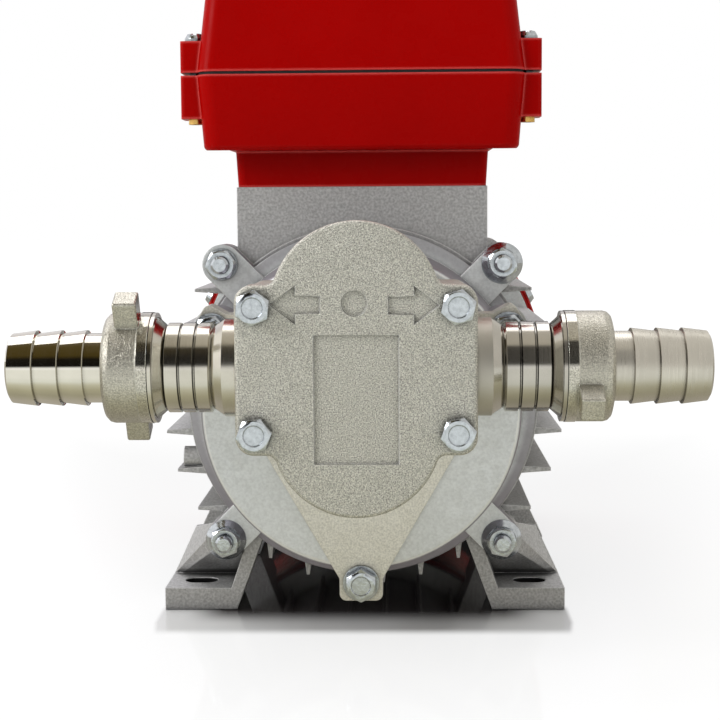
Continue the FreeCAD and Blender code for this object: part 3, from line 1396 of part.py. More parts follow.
# Terminal box
def tapered_block(name, bottom_half, top_half, front, back, bottom, height, lean):
    """A block that widens or narrows upwards: lean is added to every side at its top."""
    item = doc.addObject("Part::Wedge", name)
    bind(item, {
        "Xmin": f"-({bottom_half})",
        "Xmax": bottom_half,
        "Zmin": f"-({back})",
        "Zmax": f"-({front})",
        "X2min": f"-({top_half})",
        "X2max": top_half,
        "Z2min": f"-({back}) - ({lean})",
        "Z2max": f"-({front}) + ({lean})",
        "Ymin": "0",
        "Ymax": height,
    })
    item.Placement = Placement(Vector(0, 0, 0), Rotation(Vector(1, 0, 0), 90))
    bind(item, {"Placement.Base.z": bottom})
    return item


def upright(edge):
    """True for the corner edges of a tapered block."""
    if edge.Curve.TypeId != "Part::GeomLine":
        return False
    return abs(edge.Curve.Direction.z) > 0.9


def soft_block(name, half, top_half, front, back, bottom, height, lean, radius, foot_radius=None):
    """A tapered block with round upright corners and, if asked for, a round lower edge."""
    sharp = tapered_block(name + "_sharp", half, top_half, front, back, bottom, height, lean)
    low = value(bottom)

    def radius_of(edge):
        if upright(edge):
            return radius
        return foot_radius if flat_at(edge, 2, low) else None

    return rounded(name, sharp, radius_of)


def sloped_side(name, side, inner, raised, depth):
    """A slab beside the neck whose top rises backwards like the underside of the box."""
    item = doc.addObject("Part::Box", name)
    width = f"(box_width - {inner})"
    bind(item, {"Length": width, "Width": f"2 * ({box_back} - {box_front})", "Height": depth})
    slope = value("underside_slope")
    item.Placement = Placement(Vector(0, 0, 0), Rotation(Vector(1, 0, 0), slope))
    low = inner if side > 0 else f"-{inner} - {width}"
    bind(item, {
        "Placement.Base.x": low,
        "Placement.Base.y": f"{box_front} + ({depth}) * sin({slope} deg)",
        "Placement.Base.z": f"{neck_top} + {raised} - ({depth}) * cos({slope} deg)",
    })
    return item


def lug_places():
    """Low corner of each box lug along X and Y, and the screw in it."""
    for side in (-1, 1):
        for end, along in (("front", f"{box_front} + box_lug_inset"),
                           ("back", f"{box_back} - box_lug_inset - box_lug_length")):
            name = "%s_%s" % ("left" if side < 0 else "right", end)
            inner = "(box_width / 2 - 1)"
            low = inner if side > 0 else f"-{inner} - box_lug_reach - 1"
            screw = f"{side} * (box_width / 2 + box_draft - box_wall + insert_wall + insert_radius)"
            yield name, low, along, screw, f"{along} + box_lug_length / 2"


def lug_block(name, low, along, bottom, height):
    sharp = block(name + "_sharp", ("box_lug_reach + 1", "box_lug_length", height), (low, along, bottom))
    return rounded(name, sharp, lambda edge: "box_lug_reach / 6" if upright(edge) else None)


def make_box_base():
    half = "box_width / 2"
    top_half = "box_width / 2 + box_draft"
    wall = "box_wall"
    neck = soft_block("neck", "neck_width / 2", "neck_width / 2 + neck_flare", "-pedestal_front",
                      "pedestal_back", "pedestal_top", "neck_rise + 1", "0", "box_rounding / 2")
    tray = soft_block("tray", half, top_half, box_front, box_back, neck_top, "box_rise",
                      "box_draft", "box_rounding", "box_edge_rounding")
    outer_side = "(neck_width / 2 + neck_flare + 0.6)"
    reliefs = [sloped_side("relief_%d" % (side + 1), side, outer_side, "0", "12") for side in (-1, 1)]
    parts = [neck, cut("tray_relieved", tray, reliefs)]
    lug_bottom = f"({base_top} - box_lug_rise)"
    for name, low, along, screw_x, screw_y in lug_places():
        parts.append(lug_block("base_lug_" + name, low, along, lug_bottom, "box_lug_rise"))
    parts.append(cylinder("gland_boss", "gland_across * 0.577 + 0.2", f"{gland_wall} - {box_back} + 1",
                          ("0", f"{box_back} - 1", gland_height)))
    blank = fuse("box_base_blank", parts)
    space = soft_block("tray_space", f"{half} - {wall}", f"{top_half} - {wall}", f"{box_front} + {wall}",
                       f"{box_back} - {wall}", f"{neck_top} + {wall}", f"box_rise - {wall}", "box_draft",
                       "box_rounding / 2")
    inner_side = f"({outer_side} - {wall})"
    ledges = [sloped_side("ledge_%d" % (side + 1), side, inner_side, wall, "12") for side in (-1, 1)]
    tools = [
        cut("tray_space_tool", space, ledges),
        middle_block("neck_space", "neck_width - 2 * pedestal_wall", "-pedestal_front + pedestal_wall",
                     "pedestal_back - pedestal_wall", f"pedestal_top + {wall}", f"{neck_top} + {wall} + 1"),
        cylinder("base_lead_hole", "lead_hole_radius + 2", f"{wall} + 1",
                 ("0", "-core_centre - core_length / 2", "pedestal_top"), "z"),
        cylinder("gland_hole", "gland_thread + slip", f"{wall} + box_draft + 4",
                 ("0", f"{box_back} - {wall} - 2", gland_height)),
    ]
    for name, low, along, screw_x, screw_y in lug_places():
        tools.append(cylinder("insert_hole_" + name, "insert_radius", "box_lug_rise",
                              (screw_x, screw_y, lug_bottom), "z"))
    for name, screw_x, screw_y in base_screw_places():
        tools.append(cylinder("base_hole_" + name, small_screw_hole, f"{wall} + 1",
                              (screw_x, screw_y, "pedestal_top"), "z"))
    node(cut("box_base", blank, tools), "box_base")


def make_box_gasket():
    half = "(box_width / 2 + box_draft)"
    front = f"{box_front} - box_draft"
    back = f"{box_back} + box_draft"
    outer = soft_block("gasket_outer", f"{half} - 0.4", f"{half} - 0.4", f"{front} + 0.4",
                       f"{back} - 0.4", base_top, "box_seal", "0", "box_rounding")
    inner = soft_block("gasket_inner", f"{half} - box_wall", f"{half} - box_wall",
                       f"{front} + box_wall", f"{back} - box_wall", base_top,
                       "box_seal", "0", "box_rounding / 2")
    notches = []
    for name, low, along, screw_x, screw_y in lug_places():
        notches.append(cylinder("gasket_notch_" + name, "lid_screw_radius + hole_play", "box_seal",
                                (screw_x, screw_y, base_top), "z"))
    node(cut("box_gasket", outer, [inner] + notches), "box_gasket")


def make_box_lid():
    half = "(box_width / 2 + box_draft)"
    front = f"({box_front} - box_draft)"
    back = f"({box_back} + box_draft)"
    shell = tapered_block("lid_shell", half, f"{half} - lid_draft", front, back, lid_bottom,
                          "lid_rise", "-lid_draft")
    top = value(lid_top)

    def radius_of(edge):
        if upright(edge):
            return "box_rounding"
        return "lid_rounding" if flat_at(edge, 2, top) else None

    soft = rounded("lid_soft", shell, radius_of)
    parts = [soft]
    for name, low, along, screw_x, screw_y in lug_places():
        parts.append(lug_block("lid_lug_" + name, low, along, lid_bottom, "lid_lug_rise"))
    wall = "box_wall"
    tools = [soft_block("lid_space", f"{half} - {wall}", f"{half} - {wall} - lid_draft",
                        f"{front} + {wall}", f"{back} - {wall}", lid_bottom, f"lid_rise - {wall}",
                        "-lid_draft", "box_rounding / 2")]
    for name, low, along, screw_x, screw_y in lug_places():
        tools.append(cylinder("lid_hole_" + name, "lid_screw_radius + hole_play", "lid_lug_rise",
                              (screw_x, screw_y, lid_bottom), "z"))
        tools.append(cylinder("lid_head_room_" + name, "lid_screw_head + 0.3", "lid_rise - lid_lug_rise",
                              (screw_x, screw_y, f"{lid_bottom} + lid_lug_rise"), "z"))
    tools.append(middle_block("switch_window", "switch_width - 2", f"{switch_front} + 1",
                              f"{switch_front} + switch_length - 1", f"{lid_top} - {wall} - 1", lid_top))
    node(cut("box_lid", fuse("lid_blank", parts), tools), "box_lid")


def make_lid_fasteners():
    screws = []
    inserts = []
    lug_bottom = f"({base_top} - box_lug_rise)"
    head_seat = f"({lid_bottom} + lid_lug_rise)"
    depth = "(lid_lug_rise + box_seal + 8)"
    cross_reach = "(lid_screw_head * 0.8)"
    cross_half = "(lid_screw_head * 0.22)"
    for name, low, along, screw_x, screw_y in lug_places():
        shank = cylinder("lid_shank_" + name, "lid_screw_radius", depth,
                         (screw_x, screw_y, head_seat), "-z")
        profile = [
            ("0", "0"),
            ("lid_screw_head", "0"),
            ("lid_screw_head", "lid_screw_head_height * 0.4"),
            ("lid_screw_head * 0.75", "lid_screw_head_height * 0.9"),
            ("lid_screw_head * 0.4", "lid_screw_head_height"),
            ("0", "lid_screw_head_height"),
        ]
        head = turned("lid_head_" + name, profile, (screw_x, screw_y, head_seat), "z")
        cross = []
        for turn, half_x, half_y in ((0, cross_reach, cross_half), (1, cross_half, cross_reach)):
            cross.append(block("cross_%s_%d" % (name, turn), (f"2 * {half_x}", f"2 * {half_y}", "2"),
                               (f"{screw_x} - {half_x}", f"{screw_y} - {half_y}",
                                f"{head_seat} + lid_screw_head_height - 1.4")))
        screws.append(cut("lid_screw_" + name, fuse("lid_screw_blank_" + name, [shank, head]), cross))
        length = "(box_lug_rise + insert_stand)"
        inserts.append(tube("insert_" + name, "insert_radius", "lid_screw_radius + slip", length,
                            (screw_x, screw_y, f"{lug_bottom} - insert_stand"), "z"))
    node(group("lid_screws", screws), "lid_screws")
    node(group("lid_inserts", inserts), "lid_inserts")


def make_base_screws():
    screws = []
    seat = "(pedestal_top + box_wall)"
    for name, screw_x, screw_y in base_screw_places():
        at = (screw_x, screw_y, seat)
        head = cylinder("base_screw_head_" + name, "small_screw_head", "2.4", at, "z")
        shank = cylinder("base_screw_shank_" + name, "small_screw_radius",
                         "box_wall + base_screw_grip", at, "-z")
        screws.append(fuse("base_screw_" + name, [head, shank]))
    node(group("base_screws", screws), "base_screws")


def make_box_contents():
    """Capacitor and terminal block, side by side on the floor of the neck."""
    floor = "(pedestal_top + box_wall)"
    across = "(neck_width / 2 - pedestal_wall - capacitor_radius - 1.9)"
    profile = [
        ("0", "0"),
        ("capacitor_radius - 1.5", "0"),
        ("capacitor_radius", "1.5"),
        ("capacitor_radius", "capacitor_length - 3"),
        ("capacitor_radius - 3", "capacitor_length"),
        ("0", "capacitor_length"),
    ]
    start = f"{box_middle} - capacitor_length / 2"
    at = (f"-{across}", start, f"{floor} + capacitor_radius")
    node(turned("capacitor", profile, at), "capacitor")
    inner = "neck_width / 2 - pedestal_wall - terminal_width - 0.3"
    low = (inner, f"{box_middle} - terminal_length / 2", floor)
    strip = block("terminal_strip", ("terminal_width", "terminal_length", "terminal_height"), low)
    holes = []
    for index in range(4):
        along = f"{box_middle} + ({index} - 1.5) * terminal_length / 4.4"
        for column in (-1, 1):
            across_hole = f"{low[0]} + terminal_width / 2 + {column} * terminal_width / 4"
            holes.append(cylinder("terminal_hole_%d_%d" % (index, column + 1), "terminal_hole", "4",
                                  (across_hole, along, f"{floor} + terminal_height - 4"), "z"))
    node(cut("terminal_block", strip, holes), "terminal_block")


# Rocker switch
def make_switch():
    back = f"{switch_front} + switch_length"
    wall = "switch_wall"
    rim = middle_block("switch_rim_block", "switch_width", switch_front, back,
                       lid_top, f"{lid_top} + switch_rim")
    rim_soft = rounded("switch_rim_soft", rim, lambda edge: "1.5" if upright(edge) else None)
    can = middle_block("switch_can", "switch_width - 2.4", f"{switch_front} + 1.2", f"{back} - 1.2",
                       f"{lid_top} - switch_depth", f"{lid_top} + 1")
    window = middle_block("switch_hollow", f"switch_width - 2 * {wall}", f"{switch_front} + {wall}",
                          f"{back} - {wall}", f"{lid_top} - rocker_depth - 5", f"{lid_top} + switch_rim")
    node(cut("switch_frame", fuse("switch_blank", [rim_soft, can]), [window]), "switch_frame")
    half = f"(switch_length / 2 - {wall} - rocker_play)"
    points = [
        (f"-{half} + 1.2", "-rocker_depth"),
        (f"{half} - 1.2", "-rocker_depth"),
        (half, "rocker_rise - 1"),
        (f"{half} - 0.8", "rocker_rise"),
        ("0.8", "rocker_rise - rocker_dip"),
        ("-0.8", "rocker_rise - rocker_dip"),
        (f"-{half} + 0.8", "rocker_rise"),
        (f"-{half}", "rocker_rise - 1"),
    ]
    body = doc.addObject("PartDesign::Body", "switch_rocker")
    sketch = draw(body, "rocker_side", "XZ_Plane", points)
    pad = body.newObject("PartDesign::Pad", "rocker_pad")
    pad.Profile = sketch
    bind(pad, {"Length": f"switch_width - 2 * {wall} - 2 * rocker_play"})
    pad.Midplane = True
    body.Tip = pad
    tilt = Rotation(Vector(1, 0, 0), value("rocker_tilt"))
    body.Placement = Placement(Vector(0, 0, 0), tilt.multiply(Rotation(Vector(0, 0, 1), 90)))
    bind(body, {
        "Placement.Base.x": "0",
        "Placement.Base.y": f"{switch_front} + switch_length / 2",
        "Placement.Base.z": f"{lid_top} + switch_rim",
    })
    node(body, "switch_rocker")


# Cable gland
def make_gland():
    length = f"{gland_wall} - {box_back} + box_wall + gland_locknut + 2"
    thread = cylinder("gland_thread_body", "gland_thread", length,
                      ("0", f"{box_back} - box_wall - gland_locknut - 1.5", gland_height))
    seat = gland_wall
    collar = hex_head("gland_hexagon", "gland_across / 2", "gland_collar",
                      ("0", seat, gland_height), "y", 30)
    neck = cylinder("gland_neck_body", "gland_thread", "gland_neck",
                    ("0", f"{seat} + gland_collar", gland_height))
    bore = cylinder("gland_body_bore", "gland_bore + 1", "60",
                    ("0", f"{box_back} - 20", gland_height))
    node(cut("gland_body", fuse("gland_body_blank", [thread, collar, neck]), [bore]), "gland_body")
    nut_front = f"({seat} + gland_collar + 0.3)"
    profile = [
        ("gland_bore + 1.5", "gland_neck + 1"),
        ("gland_thread + slip", "gland_neck + 1"),
        ("gland_thread + slip", "0"),
        ("gland_across * 0.577", "0"),
        ("gland_across * 0.577", "gland_nut_length * 0.45"),
        ("gland_across * 0.47", "gland_nut_length * 0.55"),
        ("gland_across * 0.44", "gland_nut_length * 0.8"),
        ("gland_across * 0.34", "gland_nut_length"),
        ("gland_bore + 1.5", "gland_nut_length"),
    ]
    at = ("0", nut_front, gland_height)
    dome = turned("gland_dome", profile, at)
    hexagon = prism("gland_nut_hexagon", 6, "gland_across / 2", "gland_nut_length", at, "y", 10)
    node(common("gland_nut", dome, hexagon), "gland_nut")
    node(tube("gland_seal", "gland_bore + 1.5", "gland_bore", "gland_nut_length - gland_neck - 1",
              ("0", f"{nut_front} + gland_neck + 1", gland_height)), "gland_seal")
    locknut_at = ("0", f"{box_back} - box_wall", gland_height)
    locknut = prism("locknut_hexagon", 6, "gland_across / 2 - 0.7", "gland_locknut", locknut_at, "-y")
    hole = cylinder("locknut_bore", "gland_thread + slip", "gland_locknut", locknut_at, "-y")
    node(cut("gland_locknut", locknut, [hole]), "gland_locknut")


make_front_cover()
make_cover_gasket()
make_cover_bolts()
make_pump_body()
make_drive_gear()
make_idler()
make_shaft_bushes()
make_shaft_seal()
make_flange_bolts()
make_union("left", "-x", -28)
make_union("right", "x", -64)
make_front_shield()
make_motor_housing()
make_bearing("front_bearing", front_bearing_front)
make_bearing("rear_bearing", f"({rear_bearing_back} - bearing_width)")
make_motor_shaft()
make_active_parts()
make_tie_rods()
make_rear_shield()
make_cooling_fan()
make_fan_cover()
make_box_base()
make_box_gasket()
make_box_lid()
make_lid_fasteners()
make_base_screws()
make_box_contents()
make_switch()
make_gland()

doc.recompute()
faults = []
for item in doc.Objects:
    if "Invalid" in item.State or "Error" in item.State:
        faults.append("%s is %s" % (item.Label, item.State))
for item in nodes:
    if item.Shape.isNull() or not item.Shape.isValid():
        faults.append("%s has no valid shape" % item.Label)
if faults:
    raise RuntimeError("; ".join(faults))

os.makedirs("parts", exist_ok=True)
for item in nodes:
    item.Shape.exportStep("parts/" + item.Label + ".step")
    print(item.Label, "solids", len(item.Shape.Solids), "volume", round(item.Shape.Volume, 1))
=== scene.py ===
import json
import math
import bmesh
import bpy
from mathutils import Matrix, Vector


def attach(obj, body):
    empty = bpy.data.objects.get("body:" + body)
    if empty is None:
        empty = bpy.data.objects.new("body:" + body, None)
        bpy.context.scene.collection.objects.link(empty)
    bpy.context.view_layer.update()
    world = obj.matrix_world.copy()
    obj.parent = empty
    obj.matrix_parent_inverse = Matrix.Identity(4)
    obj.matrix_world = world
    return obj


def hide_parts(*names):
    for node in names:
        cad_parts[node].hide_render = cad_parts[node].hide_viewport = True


MM = 0.001
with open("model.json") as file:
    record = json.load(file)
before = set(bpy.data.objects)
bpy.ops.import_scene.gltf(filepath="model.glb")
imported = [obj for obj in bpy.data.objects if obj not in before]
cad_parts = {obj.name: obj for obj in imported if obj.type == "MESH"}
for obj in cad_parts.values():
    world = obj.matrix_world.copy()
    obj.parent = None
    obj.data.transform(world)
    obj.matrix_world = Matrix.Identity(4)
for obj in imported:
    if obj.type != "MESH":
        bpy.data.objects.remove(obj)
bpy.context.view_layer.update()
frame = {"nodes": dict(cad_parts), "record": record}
nodes = frame["nodes"]
scene = bpy.context.scene
scene.view_settings.view_transform = "Standard"

# Camera: its place, its turns in radians, and its lens and sensor in millimetres
CAMERA_AT = Vector((11.58, -517.65, 119.14)) * MM
YAW, PITCH, ROLL = 0.0266, 0.0941, -0.0066
LENS = 79.48
SENSOR_WIDTH = 36
NEAREST, FARTHEST = 20 * MM, 50000 * MM

# Places on the motor, in millimetres
MOTOR_AXIS_HEIGHT = 63.0
SHIELD_FACE = -76.3
SHIELD_RIM_FACE = -55.6
SHIELD_RIM_RADIUS = 50.6
SHIELD_BARREL_RADIUS = 46.5
FOOT_TOP = 6.5
FOOT_SLOT = (50.0, 40.0)
FOOT_SLOT_HALF = (5.0, 3.5)

# Places on the pump, in millimetres
COVER_FACE = -121.5
ENGRAVING_DEPTH = 0.7
ENGRAVING_DRAFT = 0.5
ENGRAVING_LEAD = 1
FLANGE_THICKNESS = 8.6
WASHER_THICKNESS = 0.8
BOLT_HEAD_HEIGHT = 3.5
DISH_RADIUS = 2.5
DISH_DEPTH = 0.3
DISH_DRAFT = 0.7
DISH_LEAD = 0.5
COVER_BOLT_SIDE = 25.65
COVER_BOLT_HEIGHTS = (63.0, 95.0)
COVER_BOLTS = [(x, z) for x in (-COVER_BOLT_SIDE, COVER_BOLT_SIDE) for z in COVER_BOLT_HEIGHTS]
COVER_BOLT_TOP = COVER_FACE - BOLT_HEAD_HEIGHT
FLANGE_BOLT_CIRCLE = 46.8
FLANGE_BOLT_ANGLES = [math.radians(angle) for angle in (30, 150, 270)]
FLANGE_BOLTS = [(FLANGE_BOLT_CIRCLE * math.cos(angle),
                 MOTOR_AXIS_HEIGHT + FLANGE_BOLT_CIRCLE * math.sin(angle)) for angle in FLANGE_BOLT_ANGLES]
FLANGE_BOLT_TOP = SHIELD_FACE - FLANGE_THICKNESS - WASHER_THICKNESS - BOLT_HEAD_HEIGHT
UNION_BAND_END = 56.6
COLLAR_END = 35.0

# Outlines sunk into the cover face, as X and Z
LEFT_ARROW = [(-21.6, 95.8), (-15.1, 100.2), (-15.1, 97.7), (-9.1, 97.7),
              (-9.1, 93.5), (-15.1, 93.5), (-15.1, 90.85)]
RIGHT_ARROW = [(20.8, 95.3), (14.55, 90.7), (14.55, 93.2), (8.3, 93.2),
               (8.3, 97.5), (14.55, 97.5), (14.55, 100.05)]
BARE_PANEL = [(-10.6, 55.4), (10.7, 55.4), (10.7, 87.8), (-10.6, 87.8)]
DOT_CENTRE = (-0.37, 95.9)
DOT_RADIUS = 3.1

# Floor, in millimetres: its reach, how far it lies below the feet, and where each zone starts and
# ends to fade
FEET_ENDS = (59.5, 61.5)
MIRROR_FRONT = (-80, -71)
MIRROR_BACK = (-50, -44)
MIRROR_NARROWS_FROM = -65
MIRROR_NARROWING = 0.13
# Ends of the painted shadow under the motor
PAINTED_SHADOW_SIDES = (40, 54)
PAINTED_SHADOW_FRONT = (-50, -68)
PAINTED_SHADOW_BACK = (130, 200)
OPEN_FRONT = (-50, -64)
WHITE_FROM = (80, 260)
OBJECT_MIDDLE = 40
LENGTHWISE_SHARE = 0.6
MIRRORED_FLOOR = (-260, -60)
TABLE_REACH = 6000
TABLE_DROP = 0.2

# Colours of several looks and lights
WHITE = (1.0, 1.0, 1.0)
BLACK = (0.0, 0.0, 0.0)
DARK = (0.02, 0.02, 0.02)
PALE_BEHIND = (0.92, 0.90, 0.93)
ROOM_BLACK = (0.008, 0.007, 0.006)
SHIELD_SHADE_GREY = (0.33, 0.31, 0.34)
FLOOR_GLOW = (1.08, 1.08, 1.08)

# Wide shallow waves of cast metal, in millimetres
WAVE_SIZE = 14
WAVE_DEPTH = 0.15

# Roughness of the machined and the satin metal on the unions
BAND_ROUGHNESS = 0.08
RING_ROUGHNESS = 0.16

# Samples of the bevel and crease nodes
SHADER_SAMPLES = 4


def make_camera():
    """A camera in front of the pump, turned and then tipped and rolled a little."""
    right = Vector((math.cos(YAW), math.sin(YAW), 0))
    level = Vector((-math.sin(YAW), math.cos(YAW), 0))
    ahead = level * math.cos(PITCH) - Vector((0, 0, 1)) * math.sin(PITCH)
    up = Vector((0, 0, 1)) * math.cos(PITCH) + level * math.sin(PITCH)
    turned_right = right * math.cos(ROLL) + up * math.sin(ROLL)
    turned_up = up * math.cos(ROLL) - right * math.sin(ROLL)
    camera = bpy.data.objects.new("camera", bpy.data.cameras.new("camera"))
    camera.data.lens = LENS
    camera.data.sensor_width = SENSOR_WIDTH
    camera.data.clip_start = NEAREST
    camera.data.clip_end = FARTHEST
    turn = Matrix((turned_right, turned_up, -ahead)).transposed().to_4x4()
    camera.matrix_world = Matrix.Translation(CAMERA_AT) @ turn
    scene.collection.objects.link(camera)
    scene.camera = camera


class Nodes:
    """Short ways to add and join shader nodes in one tree."""

    def __init__(self, tree):
        self.tree = tree

    def node(self, kind, **settings):
        item = self.tree.nodes.new(kind)
        for key, value in settings.items():
            setattr(item, key, value)
        return item

    def link(self, source, target):
        self.tree.links.new(source, target)

    def math(self, operation, first, second=0):
        """A math node; each input is a socket or a number."""
        item = self.node("ShaderNodeMath", operation=operation)
        for socket, source in zip(item.inputs, (first, second)):
            if isinstance(source, (int, float)):
                socket.default_value = source
            else:
                self.link(source, socket)
        return item.outputs[0]

    def ranged(self, source, low, high, from_low=0.3, from_high=0.7, soft=False):
        """From low to high while the source goes from from_low to from_high."""
        item = self.node("ShaderNodeMapRange")
        if soft:
            item.interpolation_type = "SMOOTHSTEP"
        item.inputs["From Min"].default_value = from_low
        item.inputs["From Max"].default_value = from_high
        item.inputs["To Min"].default_value = low
        item.inputs["To Max"].default_value = high
        self.link(source, item.inputs["Value"])
        return item.outputs["Result"]

    def mixed(self, factor, first, second):
        """A colour between two; each is a socket or three numbers."""
        mix = self.node("ShaderNodeMix", data_type="RGBA")
        self.link(factor, mix.inputs["Factor"])
        for name, source in (("A", first), ("B", second)):
            if isinstance(source, (tuple, list)):
                mix.inputs[name].default_value = (*source, 1)
            else:
                self.link(source, mix.inputs[name])
        return mix.outputs["Result"]

    def ramp(self, factor, stops):
        """Colours at places between 0 and 1."""
        item = self.node("ShaderNodeValToRGB")
        while len(item.color_ramp.elements) < len(stops):
            item.color_ramp.elements.new(0.5)
        for element, (place, colour) in zip(item.color_ramp.elements, stops):
            element.position = place
            element.color = (*colour, 1)
        self.link(factor, item.inputs["Fac"])
        return item.outputs["Color"]


class Look(Nodes):
    """A node material, built step by step around one Principled shader."""

    def __init__(self, name, metallic=0.0, roughness=0.5, colour=(0.5, 0.5, 0.5)):
        self.material = bpy.data.materials.new(name)
        self.material.use_nodes = True
        super().__init__(self.material.node_tree)
        self.shader = next(n for n in self.tree.nodes if n.type == "BSDF_PRINCIPLED")
        self.colour = colour
        self.roughness = roughness
        self.set("Metallic", metallic)
        self.set("Roughness", roughness)
        self.set("Base Color", (*colour, 1))
        self.coords = self.node("ShaderNodeTexCoord").outputs["Object"]
        self.paint = colour
        self.normal = None

    def set(self, socket, value):
        self.shader.inputs[socket].default_value = value
        return self

    def noise(self, size, detail=2.0, rough=0.5, stretch=(1, 1, 1)):
        """Noise whose features are about size millimetres across."""
        mapping = self.node("ShaderNodeMapping")
        mapping.inputs["Scale"].default_value = [1000 * s / size for s in stretch]
        self.link(self.coords, mapping.inputs["Vector"])
        texture = self.node("ShaderNodeTexNoise")
        texture.inputs["Scale"].default_value = 1.0
        self.link(mapping.outputs["Vector"], texture.inputs["Vector"])
        texture.inputs["Detail"].default_value = detail
        texture.inputs["Roughness"].default_value = rough
        return texture.outputs["Fac"]

    def axis(self, name):
        """One coordinate of the surface point, in millimetres."""
        split = self.node("ShaderNodeSeparateXYZ")
        self.link(self.coords, split.inputs[0])
        return self.math("MULTIPLY", split.outputs[name], 1000)

    def vary_colour(self, size, amount, detail=3.0):
        """Blotches about size millimetres across, darker and lighter by the amount."""
        factor = self.ranged(self.noise(size, detail), 0, 1)
        dark = [c * (1 - amount) for c in self.colour]
        light = [min(1, c * (1 + amount)) for c in self.colour]
        return self.paint_with(self.mixed(factor, dark, light))

    def paint_with(self, colour):
        self.paint = colour
        self.link(colour, self.shader.inputs["Base Color"])
        return self

    def shade_creases(self, reach, darkest=0.3):
        """Painted shade: a darker colour in creases, where ambient occlusion finds nearby surfaces, as far
        from them as reach, in millimetres.
        """
        item = self.node("ShaderNodeAmbientOcclusion", samples=SHADER_SAMPLES, only_local=False)
        item.inputs["Distance"].default_value = reach * MM
        open_share = self.ranged(item.outputs["AO"], 0, 1, 0.35, 0.85)
        shade = [c * darkest for c in self.colour]
        return self.paint_with(self.mixed(open_share, shade, self.paint))

    def paint_edge_highlights(self, radius, colour):
        """Painted highlight: a lighter colour along the edges, where the bevelled normal turns from the
        surface's own, radius in millimetres.
        """
        bevel = self.node("ShaderNodeBevel", samples=SHADER_SAMPLES)
        bevel.inputs["Radius"].default_value = radius * MM
        facing = self.node("ShaderNodeVectorMath", operation="DOT_PRODUCT")
        self.link(bevel.outputs["Normal"], facing.inputs[0])
        self.link(self.node("ShaderNodeNewGeometry").outputs["Normal"], facing.inputs[1])
        highlight_share = self.ranged(facing.outputs["Value"], 1, 0, 0.80, 0.97)
        return self.paint_with(self.mixed(highlight_share, self.paint, colour))

    def vary_roughness(self, size, spread, detail=3.0, stretch=(1, 1, 1)):
        """Duller and brighter blotches about size millimetres across."""
        noise = self.noise(size, detail, stretch=stretch)
        varied = self.ranged(noise, self.roughness - spread, self.roughness + spread)
        self.link(varied, self.shader.inputs["Roughness"])
        return self

    def split_roughness(self, share, where_one, where_zero):
        """One roughness where the share is 1, and another where it is 0."""
        part = self.math("MULTIPLY", share, where_one - where_zero)
        self.link(self.math("ADD", part, where_zero), self.shader.inputs["Roughness"])
        return self

    def round_edges(self, radius):
        """Soft highlights along the edges, radius in millimetres."""
        item = self.node("ShaderNodeBevel", samples=SHADER_SAMPLES)
        item.inputs["Radius"].default_value = radius * MM
        self.normal = item.outputs["Normal"]
        self.link(self.normal, self.shader.inputs["Normal"])
        return self

    def bump(self, source, depth):
        """Height from a source, depth in millimetres for its whole range."""
        item = self.node("ShaderNodeBump")
        item.inputs["Distance"].default_value = depth * MM
        self.link(source, item.inputs["Height"])
        if self.normal:
            self.link(self.normal, item.inputs["Normal"])
        self.normal = item.outputs["Normal"]
        self.link(self.normal, self.shader.inputs["Normal"])
        return self


def cast_metal(name, colour, roughness, grain, depth, metallic=0.9, speckle=0.3, edge=0.35, reach=2.2,
               crease=0.2, spread=0.06):
    """Sand-cast or die-cast metal with a grain of its own size and wide shallow waves, with painted shade
    in its creases and painted highlights along its edges.
    """
    look = Look(name, metallic, roughness, colour)
    look.vary_colour(grain, speckle, 1.0)
    look.shade_creases(reach, crease)
    look.paint_edge_highlights(edge, [min(0.92, c * 1.8) for c in colour])
    if spread:
        look.vary_roughness(2.5, spread)
    look.round_edges(edge)
    look.bump(look.noise(WAVE_SIZE, 2.0), WAVE_DEPTH)
    look.bump(look.noise(grain * 0.8, 1.0, 0.5), depth)
    return look


def housing_look():
    """Cast housing, with painted shade, near black, inside the slots of its feet."""
    look = cast_metal("housing_alloy", (0.54, 0.54, 0.54), 0.52, 0.7, 0.12,
                      metallic=0.7, speckle=0.2, edge=0.5, reach=2.5, crease=0.45)
    below_top, beyond_wall = 0.25, 0.2
    inside = look.math("LESS_THAN", look.axis("Z"), FOOT_TOP - below_top)
    for name, centre, half in zip("XY", FOOT_SLOT, FOOT_SLOT_HALF):
        away = look.math("SUBTRACT", look.math("ABSOLUTE", look.axis(name)), centre)
        within = look.math("LESS_THAN", look.math("ABSOLUTE", away), half + beyond_wall)
        inside = look.math("MULTIPLY", inside, within)
    return look.paint_with(look.mixed(inside, look.paint, (0.015, 0.015, 0.015)))


